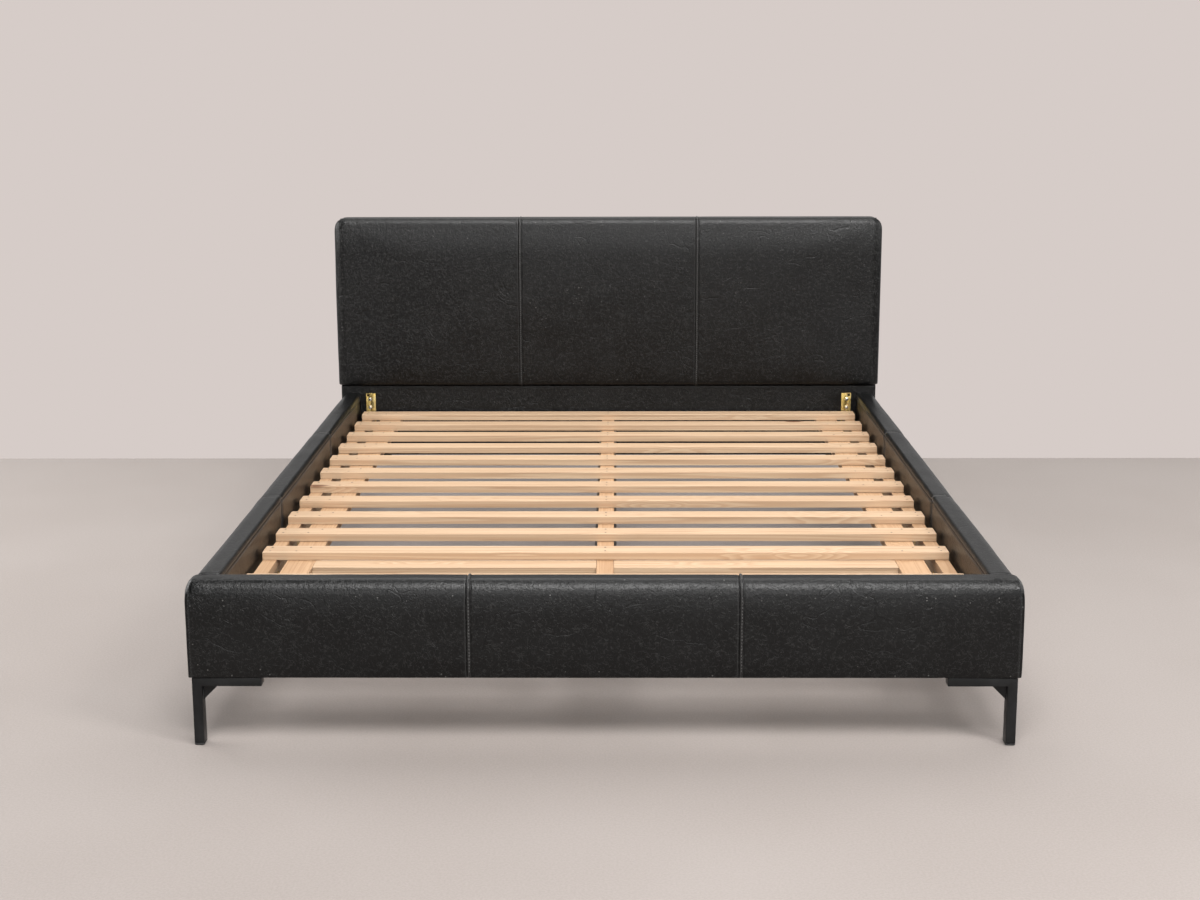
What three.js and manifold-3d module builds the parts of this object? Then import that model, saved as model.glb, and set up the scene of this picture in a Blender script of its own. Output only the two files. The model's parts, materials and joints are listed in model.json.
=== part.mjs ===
// An upholstered platform bed: a padded headboard, padded side rails and foot rail over boards, black steel
// corner legs, a drop-in slat base on ledges, and a steel centre beam on two legs with levelling feet.
// Millimetres. +X runs across the bed, +Y from its foot to its head, +Z up. The origin is on the floor,
// under the middle of the bed.
import * as THREE from "three";
import { mergeVertices } from "three/addons/utils/BufferGeometryUtils.js";
import Module from "manifold-3d";

const wasm = await Module();
wasm.setup();

// ---------------------------------------------------------------- driving dimensions

const GAP = 0.3; // left between pieces that touch

const BED_WIDTH = 1668;
const BED_LENGTH = 2220;
const FOOT_FRONT = -BED_LENGTH / 2; // the foot rail's front face
const HEAD_BACK = BED_LENGTH / 2; // the headboard's back face
const HALF_WIDTH = BED_WIDTH / 2;

const RAIL_THICKNESS = 65; // side rails and foot rail alike, board and padding together
const RAIL_BOTTOM = 143;
const RAIL_TOP = 342;
const RAIL_OUTER_RADIUS = 28;
const RAIL_INNER_RADIUS = 8;
const RAIL_BOARD_THICKNESS = 34;
const RAIL_BOARD_TOP = 320;

const CUSHION_FACE = FOOT_FRONT + 2130; // the headboard cushion's front
const LOWER_PANEL_FACE = FOOT_FRONT + 2158; // the plain panel below the cushion, set back from it
const HEADBOARD_TOP = 884;
const HEADBOARD_CORNER_RADIUS = 30;
const CUSHION_BOTTOM = 367;
const HEADBOARD_WRAP = 19; // padding on the sides and the top of the headboard's frame
const FACE_BOARD_THICKNESS = 9;
const FRAME_THICKNESS = 27; // the headboard frame's pine members
const STILE_WIDTH = 60;
const BACK_COVER_THICKNESS = 3;
const BACK_COVER_INSET = 6;

const LEG_WIDTH = 20; // across the bed
const LEG_DEPTH = 28; // along the bed
const LEG_INSET = 8; // from the bed's outside, both ways
const LEG_ARM_LENGTH = 140;
const LEG_ARM_HEIGHT = 18;
const GUSSET_LEG = 32;
const GUSSET_THICKNESS = 4;
const GLIDE_HEIGHT = 4;
const GLIDE_CHAMFER = 2.5;

const SLAT_COUNT = 12;
const SLAT_DEPTH = 57; // along the bed
const SLAT_THICKNESS = 18;
const SLAT_TOP = 287;
const SLAT_HALF_LENGTH = 759.5;
const SLAT_PITCH = 164;
const SLAT_EDGE_RADIUS = 4;
const FIRST_SLAT_BACK = FOOT_FRONT + 2137; // back edge of the slat nearest the headboard
const LAST_SLAT_BACK = FOOT_FRONT + 268; // back edge of the slat nearest the foot

const BATTEN_THICKNESS = 18; // strips, runners and cross rails under the slats
const STRIP_WIDTH = 31;
const RUNNER_WIDTH = 64;
const RUNNER_INNER_X = 640;
const CENTRE_RUNNER_WIDTH = 38;
const CROSS_RAIL_DEPTH = 60;
const CROSS_RAIL_BACK = FOOT_FRONT + 440;

const LEDGE_WIDTH = 40;
const LEDGE_HEIGHT = 30;

const BEAM_WIDTH = 50;
const BEAM_HEIGHT = 30;
const BEAM_WALL = 2;
const HANGER_STEEL = 3;
const HANGER_DEPTH = 42; // how far a hanger's cradle reaches under the beam
const HANGER_PLATE_WIDTH = 96;
const HANGER_PLATE_DROP = 26; // plate below the cradle

const CENTRE_LEG_WIDTH = 30;
const CENTRE_LEG_PLATE = 3;
const CENTRE_LEG_PLATE_LENGTH = 90;
const CENTRE_LEG_FROM_FOOT = [760, 1450];
const FOOT_STEM_RADIUS = 5;
const FOOT_STEM_CLEARANCE = 0.5;
const FOOT_STEM_TOP = 52;
const FOOT_DISC_RADIUS = 22;
const FOOT_DISC_HEIGHT = 8;
const FOOT_DISC_CHAMFER = 1.5;
const FOOT_DISC_SLOPE = 6;
const FOOT_JOIN = 4; // the nut and the stem start this high, inside the disc
const FOOT_NUT_RADIUS = 9;
const FOOT_NUT_TOP = 15;
const FOOT_SOCKET_SPARE = 3; // socket above the stem's end
const CENTRE_LEG_BOTTOM = 22;

const BRACKET_STEEL = 3;
const BRACKET_INNER_X = 725; // the flange on the headboard, from here outwards
const BRACKET_WIDTH = 30;
const HEAD_BRACKET_TOP = 341;
const FOOT_BRACKET_TOP = 262; // stays below the slats
const BRACKET_BOTTOM = 196;
const BRACKET_STEP_TOP = 246; // below this height the bracket turns along the side rail
const BRACKET_RAIL_FLANGE = 62;
const BRACKET_LIP_WIDTH = 11;
const BRACKET_LIP_DEPTH = 5;
const BRACKET_SPARE_HOLE = { inward: 24, down: 7, radius: 3.5 }; // from the flange's inner edge and its top
const BOLT_INWARD = 17; // bolt centres, from the flange's inner edge
const BOLT_DROPS = [19, 45]; // bolt centres, below the head bracket's top
const BOLT_RADIUS = 2.9;
const BOLT_HEAD_RADIUS = 5.2;
const BOLT_HEAD_HEIGHT = 5;
const BOLT_WASHER_RADIUS = 5.8;
const BOLT_WASHER_HEIGHT = 1.4;
const BOLT_LENGTH = 52; // shank below the washer
const BOLT_BORE_CLEARANCE = 0.4;

// ---------------------------------------------------------------- heights and places that follow

const SLAT_BOTTOM = SLAT_TOP - SLAT_THICKNESS;
const BATTEN_TOP = SLAT_BOTTOM - GAP;
const BATTEN_BOTTOM = BATTEN_TOP - BATTEN_THICKNESS;
const LEDGE_TOP = BATTEN_BOTTOM - GAP;
const RAIL_INNER_X = HALF_WIDTH - RAIL_THICKNESS;
const FOOT_INNER = FOOT_FRONT + RAIL_THICKNESS;
const SLAT_BASE_HEAD = FIRST_SLAT_BACK;
const SLAT_BASE_FOOT = LAST_SLAT_BACK - SLAT_DEPTH;
const FRAME_FRONT = HEAD_BACK - BACK_COVER_THICKNESS - GAP - FRAME_THICKNESS;
const FACE_BOARD_FRONT = FRAME_FRONT - GAP - FACE_BOARD_THICKNESS;
const POCKET_FRONT = FACE_BOARD_FRONT - GAP;
const FRAME_HALF_WIDTH = HALF_WIDTH - HEADBOARD_WRAP - GAP;
const FRAME_BOTTOM = RAIL_BOTTOM + HEADBOARD_WRAP + GAP;
const FRAME_TOP = HEADBOARD_TOP - HEADBOARD_WRAP - GAP;
const UPHOLSTERY_BACK = HEAD_BACK - BACK_COVER_THICKNESS;

// ---------------------------------------------------------------- materials

function finish(colour, roughness, metalness) {
  return new THREE.MeshStandardMaterial({ color: colour, roughness, metalness });
}

const leather = finish(0x1d1d1f, 0.5, 0);
const pine = finish(0xdcb48a, 0.6, 0);
const plywood = finish(0xc9a878, 0.65, 0);
const blackSteel = finish(0x202124, 0.45, 0.5);
const yellowZinc = finish(0xb9a04a, 0.3, 0.9);
const brightZinc = finish(0xc8ccce, 0.25, 1);
const blackPlastic = finish(0x141414, 0.7, 0);
const blackFabric = finish(0x18181a, 0.95, 0);

// ---------------------------------------------------------------- geometry helpers

function box(x0, x1, y0, y1, z0, z1) {
  const geometry = new THREE.BoxGeometry(x1 - x0, y1 - y0, z1 - z0);
  return geometry.translate((x0 + x1) / 2, (y0 + y1) / 2, (z0 + z1) / 2);
}

// A right-angled outline with rounded corners: each corner is [x, y, radius].
function roundedShape(corners, steps = 4) {
  const points = [];
  corners.forEach(([x, y, radius = 0], i) => {
    const corner = new THREE.Vector2(x, y);
    const [beforeX, beforeY] = corners[(i + corners.length - 1) % corners.length];
    const [afterX, afterY] = corners[(i + 1) % corners.length];
    if (!radius) {
      points.push(corner);
      return;
    }
    const back = new THREE.Vector2(beforeX, beforeY).sub(corner).normalize();
    const ahead = new THREE.Vector2(afterX, afterY).sub(corner).normalize();
    const centre = corner.clone().addScaledVector(back, radius).addScaledVector(ahead, radius);
    for (let step = 0; step <= steps; step++) {
      const turn = ((Math.PI / 2) * step) / steps;
      const point = centre.clone().addScaledVector(ahead, -radius * Math.cos(turn));
      points.push(point.addScaledVector(back, -radius * Math.sin(turn)));
    }
  });
  return new THREE.Shape(points);
}

// The shape's x and y become X and Z, and it runs along Y.
function prismAlongY(shape, y0, y1) {
  const geometry = new THREE.ExtrudeGeometry(shape, { depth: y1 - y0, bevelEnabled: false });
  return geometry.rotateX(Math.PI / 2).translate(0, y1, 0);
}

// The shape's x and y become Y and Z, and it runs along X.
function prismAlongX(shape, x0, x1) {
  const geometry = new THREE.ExtrudeGeometry(shape, { depth: x1 - x0, bevelEnabled: false });
  const cycle = new THREE.Matrix4().set(0, 0, 1, 0, 1, 0, 0, 0, 0, 1, 0, 0, 0, 0, 0, 1);
  return geometry.applyMatrix4(cycle).translate(x0, 0, 0);
}

function cylinderAlongY(radius, x, z, y0, y1, sides = 16) {
  const geometry = new THREE.CylinderGeometry(radius, radius, y1 - y0, sides);
  return geometry.translate(x, (y0 + y1) / 2, z);
}

// A cylinder that stands on the bed's middle line.
function uprightCylinder(radius, y, z0, z1, sides = 16) {
  const geometry = new THREE.CylinderGeometry(radius, radius, z1 - z0, sides);
  return geometry.rotateX(Math.PI / 2).translate(0, y, (z0 + z1) / 2);
}

function solid(geometry) {
  const bare = geometry.clone();
  bare.deleteAttribute("normal");
  bare.deleteAttribute("uv");
  const merged = mergeVertices(bare, 1e-3);
  return new wasm.Manifold(
    new wasm.Mesh({
      numProp: 3,
      vertProperties: new Float32Array(merged.attributes.position.array),
      triVerts: new Uint32Array(merged.index.array),
    }),
  );
}

function geometryOf(manifold) {
  const mesh = manifold.getMesh();
  const geometry = new THREE.BufferGeometry();
  geometry.setAttribute("position", new THREE.BufferAttribute(mesh.vertProperties, 3));
  geometry.setIndex(new THREE.BufferAttribute(mesh.triVerts, 1));
  geometry.computeVertexNormals();
  return geometry;
}

function joined(geometries) {
  return geometries.map(solid).reduce((whole, piece) => whole.add(piece));
}

function cut(geometry, holes) {
  return geometryOf(holes.map(solid).reduce((whole, hole) => whole.subtract(hole), solid(geometry)));
}

const bed = new THREE.Group();

function addPart(name, geometry, material) {
  const mesh = new THREE.Mesh(geometry, material.clone());
  mesh.name = name;
  bed.add(mesh);
}

const SIDES = [
  ["left", -1],
  ["right", 1],
];

// A box given for the right side, as distances outwards from the middle, made for either side.
function sideBox(side, inner, outer, y0, y1, z0, z1) {
  return side > 0 ? box(inner, outer, y0, y1, z0, z1) : box(-outer, -inner, y0, y1, z0, z1);
}

// ---------------------------------------------------------------- headboard

function boltPlaces() {
  return BOLT_DROPS.map((drop) => ({ x: BRACKET_INNER_X + BOLT_INWARD, z: HEAD_BRACKET_TOP - drop }));
}

// Clearance bores for the bracket bolts, on both sides of the bed.
function boltBores(y0, y1) {
  const radius = BOLT_RADIUS + BOLT_BORE_CLEARANCE;
  return SIDES.flatMap(([, side]) =>
    boltPlaces().map(({ x, z }) => cylinderAlongY(radius, side * x, z, y0, y1)),
  );
}

function addHeadboardUpholstery() {
  const pocketHalf = HALF_WIDTH - HEADBOARD_WRAP;
  const cushionOutline = roundedShape([
    [-HALF_WIDTH, CUSHION_BOTTOM],
    [HALF_WIDTH, CUSHION_BOTTOM],
    [HALF_WIDTH, HEADBOARD_TOP, HEADBOARD_CORNER_RADIUS],
    [-HALF_WIDTH, HEADBOARD_TOP, HEADBOARD_CORNER_RADIUS],
  ]);
  const pocketTop = HEADBOARD_TOP - HEADBOARD_WRAP;
  const cushionPocket = box(
    -pocketHalf, pocketHalf, POCKET_FRONT, HEAD_BACK, CUSHION_BOTTOM - 1, pocketTop,
  );
  const coverRecess = box(
    -HALF_WIDTH + BACK_COVER_INSET - GAP, HALF_WIDTH - BACK_COVER_INSET + GAP,
    UPHOLSTERY_BACK - GAP, HEAD_BACK + 1,
    RAIL_BOTTOM + BACK_COVER_INSET - GAP, HEADBOARD_TOP - BACK_COVER_INSET + GAP,
  );
  const cushion = prismAlongY(cushionOutline, CUSHION_FACE, HEAD_BACK);
  addPart("headboard_cushion", cut(cushion, [cushionPocket, coverRecess]), leather);

  const panelTop = CUSHION_BOTTOM - GAP;
  const panel = box(-HALF_WIDTH + 1, HALF_WIDTH - 1, LOWER_PANEL_FACE, HEAD_BACK, RAIL_BOTTOM, panelTop);
  const panelPocket = box(
    -pocketHalf, pocketHalf, POCKET_FRONT, HEAD_BACK + 1, RAIL_BOTTOM + HEADBOARD_WRAP, panelTop + 1,
  );
  const bores = boltBores(LOWER_PANEL_FACE - 1, POCKET_FRONT + 1);
  addPart("headboard_lower_panel", cut(panel, [panelPocket, coverRecess, ...bores]), leather);
}

function addHeadboardFrame() {
  const y0 = FRAME_FRONT;
  const y1 = FRAME_FRONT + FRAME_THICKNESS;
  const faceBoard = box(
    -FRAME_HALF_WIDTH, FRAME_HALF_WIDTH,
    FACE_BOARD_FRONT, FACE_BOARD_FRONT + FACE_BOARD_THICKNESS, FRAME_BOTTOM, FRAME_TOP,
  );
  const boardBores = boltBores(FACE_BOARD_FRONT - 1, FRAME_FRONT);
  addPart("headboard_face_board", cut(faceBoard, boardBores), plywood);

  // The stiles reach inwards past the bolts, so they are wide boards.
  const stileInner = BRACKET_INNER_X + BOLT_INWARD - STILE_WIDTH / 2;
  const stileBores = boltBores(y0 - 1, LOWER_PANEL_FACE + BOLT_LENGTH + 4);
  for (const [name, side] of SIDES) {
    const stile = sideBox(side, stileInner, FRAME_HALF_WIDTH, y0, y1, FRAME_BOTTOM, FRAME_TOP);
    addPart("headboard_stile_" + name, cut(stile, stileBores), pine);
  }

  const railHalf = stileInner - GAP;
  const rails = [
    ["top", FRAME_TOP - STILE_WIDTH, FRAME_TOP],
    ["middle", CUSHION_BOTTOM - STILE_WIDTH / 2, CUSHION_BOTTOM + STILE_WIDTH / 2],
    ["bottom", FRAME_BOTTOM, FRAME_BOTTOM + STILE_WIDTH],
  ];
  for (const [name, z0, z1] of rails) {
    addPart("headboard_" + name + "_rail", box(-railHalf, railHalf, y0, y1, z0, z1), pine);
  }
}

function addHeadboardBackCover() {
  const half = HALF_WIDTH - BACK_COVER_INSET;
  const cover = box(
    -half, half, UPHOLSTERY_BACK, HEAD_BACK,
    RAIL_BOTTOM + BACK_COVER_INSET, HEADBOARD_TOP - BACK_COVER_INSET,
  );
  addPart("headboard_back_cover", cover, blackFabric);
}

// ---------------------------------------------------------------- side rails and foot rail

// The padded rail's section, open below for its board. across = 0 is the outer face.
function railSection(across) {
  const padding = (RAIL_THICKNESS - RAIL_BOARD_THICKNESS) / 2;
  return roundedShape([
    [across(0), RAIL_BOTTOM],
    [across(0), RAIL_TOP, RAIL_OUTER_RADIUS],
    [across(RAIL_THICKNESS), RAIL_TOP, RAIL_INNER_RADIUS],
    [across(RAIL_THICKNESS), RAIL_BOTTOM],
    [across(RAIL_THICKNESS - padding + GAP), RAIL_BOTTOM],
    [across(RAIL_THICKNESS - padding + GAP), RAIL_BOARD_TOP + GAP],
    [across(padding - GAP), RAIL_BOARD_TOP + GAP],
    [across(padding - GAP), RAIL_BOTTOM],
  ], 6);
}

function addSideRail(name, side) {
  const y0 = FOOT_INNER + GAP;
  const y1 = LOWER_PANEL_FACE - GAP;
  const section = railSection((depth) => side * (HALF_WIDTH - depth));
  addPart("side_rail_cover_" + name, prismAlongY(section, y0, y1), leather);

  const padding = (RAIL_THICKNESS - RAIL_BOARD_THICKNESS) / 2;
  const inner = RAIL_INNER_X + padding;
  const outer = HALF_WIDTH - padding;
  addPart("side_rail_board_" + name, sideBox(side, inner, outer, y0, y1, RAIL_BOTTOM, RAIL_BOARD_TOP), pine);
}

function addFootRail() {
  const padding = (RAIL_THICKNESS - RAIL_BOARD_THICKNESS) / 2;
  const outline = roundedShape([
    [FOOT_FRONT, RAIL_BOTTOM],
    [FOOT_FRONT, RAIL_TOP, RAIL_OUTER_RADIUS],
    [FOOT_INNER, RAIL_TOP, RAIL_INNER_RADIUS],
    [FOOT_INNER, RAIL_BOTTOM],
  ], 6);
  const boardHalf = HALF_WIDTH - padding;
  const y0 = FOOT_FRONT + padding;
  const y1 = FOOT_INNER - padding;
  const pocket = box(
    -boardHalf - GAP, boardHalf + GAP, y0 - GAP, y1 + GAP, RAIL_BOTTOM - 1, RAIL_BOARD_TOP + GAP,
  );
  const cover = prismAlongX(outline, -HALF_WIDTH, HALF_WIDTH);
  addPart("foot_rail_cover", cut(cover, [pocket]), leather);
  addPart("foot_rail_board", box(-boardHalf, boardHalf, y0, y1, RAIL_BOTTOM, RAIL_BOARD_TOP), pine);
}

function addSideLedge(name, side) {
  const outer = RAIL_INNER_X - GAP;
  const y0 = FOOT_INNER + BRACKET_RAIL_FLANGE + 2 * BRACKET_STEEL;
  const y1 = LOWER_PANEL_FACE - BRACKET_RAIL_FLANGE - 2 * BRACKET_STEEL;
  const ledge = sideBox(side, outer - LEDGE_WIDTH, outer, y0, y1, LEDGE_TOP - LEDGE_HEIGHT, LEDGE_TOP);
  addPart("side_ledge_" + name, ledge, pine);
}

// ---------------------------------------------------------------- corner legs

// A post with an arm along the rail above it and a small gusset in the corner between them.
function addCornerLeg(end, y0, name, side) {
  const top = RAIL_BOTTOM - GAP;
  const outer = HALF_WIDTH - LEG_INSET;
  const y1 = y0 + LEG_DEPTH;
  const postInner = outer - LEG_WIDTH;
  const armBottom = top - LEG_ARM_HEIGHT;
  const post = sideBox(side, postInner, outer, y0, y1, GLIDE_HEIGHT + GAP, top);
  const arm = sideBox(side, outer - LEG_ARM_LENGTH, outer, y0, y1, armBottom, top);
  const gussetOutline = new THREE.Shape([
    new THREE.Vector2(side * (postInner + 1), armBottom + 1),
    new THREE.Vector2(side * (postInner + 1), armBottom - GUSSET_LEG),
    new THREE.Vector2(side * postInner, armBottom - GUSSET_LEG),
    new THREE.Vector2(side * (postInner - GUSSET_LEG), armBottom),
    new THREE.Vector2(side * (postInner - GUSSET_LEG), armBottom + 1),
  ]);
  const gussetFront = (y0 + y1 - GUSSET_THICKNESS) / 2;
  const gusset = prismAlongY(gussetOutline, gussetFront, gussetFront + GUSSET_THICKNESS);
  addPart(end + "_leg_" + name, geometryOf(joined([post, arm, gusset])), blackSteel);

  // The glide's lower edge is chamfered all round.
  const bevel = GLIDE_CHAMFER;
  const plate = roundedShape([
    [side * (postInner + bevel), y0 + bevel],
    [side * (outer - bevel), y0 + bevel],
    [side * (outer - bevel), y1 - bevel],
    [side * (postInner + bevel), y1 - bevel],
  ]);
  const glide = new THREE.ExtrudeGeometry(plate, {
    depth: GLIDE_HEIGHT - bevel,
    bevelEnabled: true,
    bevelThickness: bevel,
    bevelSize: bevel,
    bevelSegments: 1,
  });
  const flatTop = box(-HALF_WIDTH, HALF_WIDTH, y0 - 1, y1 + 1, GLIDE_HEIGHT, GLIDE_HEIGHT + 2 * bevel);
  addPart(end + "_glide_" + name, cut(glide.translate(0, 0, bevel), [flatTop]), blackPlastic);
}

// ---------------------------------------------------------------- corner brackets

// A steel angle: one flange on the headboard or foot rail, with a raised lip along its inner edge, and lower
// down a flange turned along the side rail. face is the panel it sits on, and inwards points into the bed.
function bracketGeometry(side, face, inwards, top) {
  const along = (near, far) => [face + inwards * near, face + inwards * far].sort((a, b) => a - b);
  const [plateY0, plateY1] = along(GAP, GAP + BRACKET_STEEL);
  const [lipY0, lipY1] = along(GAP, GAP + BRACKET_STEEL + BRACKET_LIP_DEPTH);
  const [flangeY0, flangeY1] = along(GAP, GAP + BRACKET_RAIL_FLANGE);
  const inner = BRACKET_INNER_X;
  const outer = RAIL_INNER_X - GAP;
  const plate = sideBox(side, inner, inner + BRACKET_WIDTH, plateY0, plateY1, BRACKET_BOTTOM, top);
  const lip = sideBox(side, inner, inner + BRACKET_LIP_WIDTH, lipY0, lipY1, BRACKET_BOTTOM, top);
  const foot = sideBox(side, inner, outer, plateY0, plateY1, BRACKET_BOTTOM, BRACKET_STEP_TOP);
  const flange = sideBox(
    side, outer - BRACKET_STEEL, outer, flangeY0, flangeY1, BRACKET_BOTTOM, BRACKET_STEP_TOP,
  );
  const [holeY0, holeY1] = along(-1, 2 * BRACKET_STEEL);
  const spare = {
    x: inner + BRACKET_SPARE_HOLE.inward,
    z: top - BRACKET_SPARE_HOLE.down,
    radius: BRACKET_SPARE_HOLE.radius,
  };
  const bores = [spare, ...boltPlaces()].map(({ x, z, radius = BOLT_RADIUS + BOLT_BORE_CLEARANCE }) =>
    cylinderAlongY(radius, side * x, z, holeY0, holeY1),
  );
  return cut(geometryOf(joined([plate, lip, foot, flange])), bores);
}

// A round-headed bolt with its washer, driven from inside the bed into the headboard frame.
function addBracketBolt(name, side, { x, z }) {
  const seat = LOWER_PANEL_FACE - 2 * GAP - BRACKET_STEEL;
  const underHead = seat - BOLT_WASHER_HEIGHT;
  const profile = [
    [0, -BOLT_LENGTH],
    [BOLT_RADIUS, -BOLT_LENGTH],
    [BOLT_RADIUS, 0],
    [BOLT_WASHER_RADIUS, 0],
    [BOLT_WASHER_RADIUS, BOLT_WASHER_HEIGHT],
    [BOLT_HEAD_RADIUS, BOLT_WASHER_HEIGHT],
    [BOLT_HEAD_RADIUS * 0.85, BOLT_WASHER_HEIGHT + BOLT_HEAD_HEIGHT * 0.7],
    [BOLT_HEAD_RADIUS * 0.5, BOLT_WASHER_HEIGHT + BOLT_HEAD_HEIGHT],
    [0, BOLT_WASHER_HEIGHT + BOLT_HEAD_HEIGHT],
  ].map(([radius, height]) => new THREE.Vector2(radius, height));
  const bolt = new THREE.LatheGeometry(profile, 16).rotateX(Math.PI);
  addPart(name, bolt.translate(side * x, underHead + BOLT_WASHER_HEIGHT, z), brightZinc);
}

function addCornerBrackets(name, side) {
  addPart("head_bracket_" + name, bracketGeometry(side, LOWER_PANEL_FACE, -1, HEAD_BRACKET_TOP), yellowZinc);
  addPart("foot_bracket_" + name, bracketGeometry(side, FOOT_INNER, 1, FOOT_BRACKET_TOP), yellowZinc);
  const [upper, lower] = boltPlaces();
  addBracketBolt("head_bracket_bolt_" + name + "_upper", side, upper);
  addBracketBolt("head_bracket_bolt_" + name + "_lower", side, lower);
}

// ---------------------------------------------------------------- centre beam and its legs

const BEAM_TOP = LEDGE_TOP;
const BEAM_BOTTOM = BEAM_TOP - BEAM_HEIGHT;
const BEAM_Y0 = FOOT_INNER + HANGER_STEEL + 3 * GAP;
const BEAM_Y1 = LOWER_PANEL_FACE - HANGER_STEEL - 3 * GAP;

function addCentreBeam() {
  const half = BEAM_WIDTH / 2;
  const tube = roundedShape([
    [-half, BEAM_BOTTOM],
    [half, BEAM_BOTTOM],
    [half, BEAM_TOP],
    [-half, BEAM_TOP],
  ]);
  const bore = half - BEAM_WALL;
  tube.holes.push(roundedShape([
    [-bore, BEAM_BOTTOM + BEAM_WALL],
    [bore, BEAM_BOTTOM + BEAM_WALL],
    [bore, BEAM_TOP - BEAM_WALL],
    [-bore, BEAM_TOP - BEAM_WALL],
  ]));
  addPart("centre_beam", prismAlongY(tube, BEAM_Y0, BEAM_Y1), blackSteel);
}

// A plate on the panel with a cradle that the beam's end drops into.
function addBeamHanger(end, face, inwards) {
  const along = (near, far) => [face + inwards * near, face + inwards * far].sort((a, b) => a - b);
  const [plateY0, plateY1] = along(GAP, GAP + HANGER_STEEL);
  const [cradleY0, cradleY1] = along(GAP, GAP + HANGER_DEPTH);
  const inner = BEAM_WIDTH / 2 + GAP;
  const outer = inner + HANGER_STEEL;
  const floor = BEAM_BOTTOM - GAP;
  const plateHalf = HANGER_PLATE_WIDTH / 2;
  const pieces = [
    box(-plateHalf, plateHalf, plateY0, plateY1, floor - HANGER_PLATE_DROP, BEAM_TOP),
    box(-outer, outer, cradleY0, cradleY1, floor - HANGER_STEEL, floor),
    box(inner, outer, cradleY0, cradleY1, floor - HANGER_STEEL, BEAM_TOP),
    box(-outer, -inner, cradleY0, cradleY1, floor - HANGER_STEEL, BEAM_TOP),
  ];
  addPart("beam_hanger_" + end, geometryOf(joined(pieces)), blackSteel);
}

// A square tube under the beam with a plate on top and a socket below for the levelling foot's stem.
function addCentreLeg(number, y) {
  const top = BEAM_BOTTOM - GAP;
  const half = CENTRE_LEG_WIDTH / 2;
  const plateHalf = CENTRE_LEG_PLATE_LENGTH / 2;
  const beamHalf = BEAM_WIDTH / 2;
  const tube = box(-half, half, y - half, y + half, CENTRE_LEG_BOTTOM, top);
  const plate = box(-beamHalf, beamHalf, y - plateHalf, y + plateHalf, top - CENTRE_LEG_PLATE, top);
  const socketRadius = FOOT_STEM_RADIUS + FOOT_STEM_CLEARANCE;
  const socket = uprightCylinder(socketRadius, y, CENTRE_LEG_BOTTOM - 1, FOOT_STEM_TOP + FOOT_SOCKET_SPARE);
  addPart("centre_leg_" + number, cut(geometryOf(joined([tube, plate])), [socket]), blackSteel);
}

// A disc, a hexagon nut and a threaded stem, turned as one to raise or lower the beam.
function addLevellingFoot(number, y) {
  const disc = new THREE.LatheGeometry([
    new THREE.Vector2(0, 0),
    new THREE.Vector2(FOOT_DISC_RADIUS - FOOT_DISC_CHAMFER, 0),
    new THREE.Vector2(FOOT_DISC_RADIUS, FOOT_DISC_CHAMFER),
    new THREE.Vector2(FOOT_DISC_RADIUS, FOOT_DISC_HEIGHT - 2 * FOOT_DISC_CHAMFER),
    new THREE.Vector2(FOOT_DISC_RADIUS - FOOT_DISC_SLOPE, FOOT_DISC_HEIGHT),
    new THREE.Vector2(0, FOOT_DISC_HEIGHT),
  ], 32).rotateX(Math.PI / 2);
  const nut = uprightCylinder(FOOT_NUT_RADIUS, y, FOOT_JOIN, FOOT_NUT_TOP, 6);
  const stem = uprightCylinder(FOOT_STEM_RADIUS, y, FOOT_JOIN, FOOT_STEM_TOP);
  const foot = geometryOf(joined([disc.translate(0, y, 0), nut, stem]));
  addPart("levelling_foot_" + number, foot, blackPlastic);
}

// ---------------------------------------------------------------- slat base

function addSlat(number, back) {
  const front = back - SLAT_DEPTH;
  const outline = roundedShape([
    [front, SLAT_BOTTOM, SLAT_EDGE_RADIUS / 2],
    [back, SLAT_BOTTOM, SLAT_EDGE_RADIUS / 2],
    [back, SLAT_TOP, SLAT_EDGE_RADIUS],
    [front, SLAT_TOP, SLAT_EDGE_RADIUS],
  ]);
  const name = "slat_" + String(number).padStart(2, "0");
  addPart(name, prismAlongX(outline, -SLAT_HALF_LENGTH, SLAT_HALF_LENGTH), pine);
}

function addSlatBase() {
  for (let i = 0; i < SLAT_COUNT; i++) {
    const last = i === SLAT_COUNT - 1;
    addSlat(i + 1, last ? LAST_SLAT_BACK : FIRST_SLAT_BACK - i * SLAT_PITCH);
  }
  const y0 = SLAT_BASE_FOOT;
  const y1 = SLAT_BASE_HEAD;
  const runnerOuter = RUNNER_INNER_X + RUNNER_WIDTH;
  const centreHalf = CENTRE_RUNNER_WIDTH / 2;
  const crossFront = CROSS_RAIL_BACK - CROSS_RAIL_DEPTH;
  for (const [name, side] of SIDES) {
    const stripInner = SLAT_HALF_LENGTH - STRIP_WIDTH;
    const strip = sideBox(side, stripInner, SLAT_HALF_LENGTH, y0, y1, BATTEN_BOTTOM, BATTEN_TOP);
    const runner = sideBox(side, RUNNER_INNER_X, runnerOuter, y0, y1, BATTEN_BOTTOM, BATTEN_TOP);
    const crossRail = sideBox(
      side, centreHalf + GAP, RUNNER_INNER_X - GAP,
      crossFront, CROSS_RAIL_BACK, BATTEN_BOTTOM, BATTEN_TOP,
    );
    addPart("slat_strip_" + name, strip, pine);
    addPart("slat_runner_" + name, runner, pine);
    addPart("cross_rail_" + name, crossRail, pine);
  }
  addPart("slat_runner_centre", box(-centreHalf, centreHalf, y0, y1, BATTEN_BOTTOM, BATTEN_TOP), pine);
}

// ---------------------------------------------------------------- the bed

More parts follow.
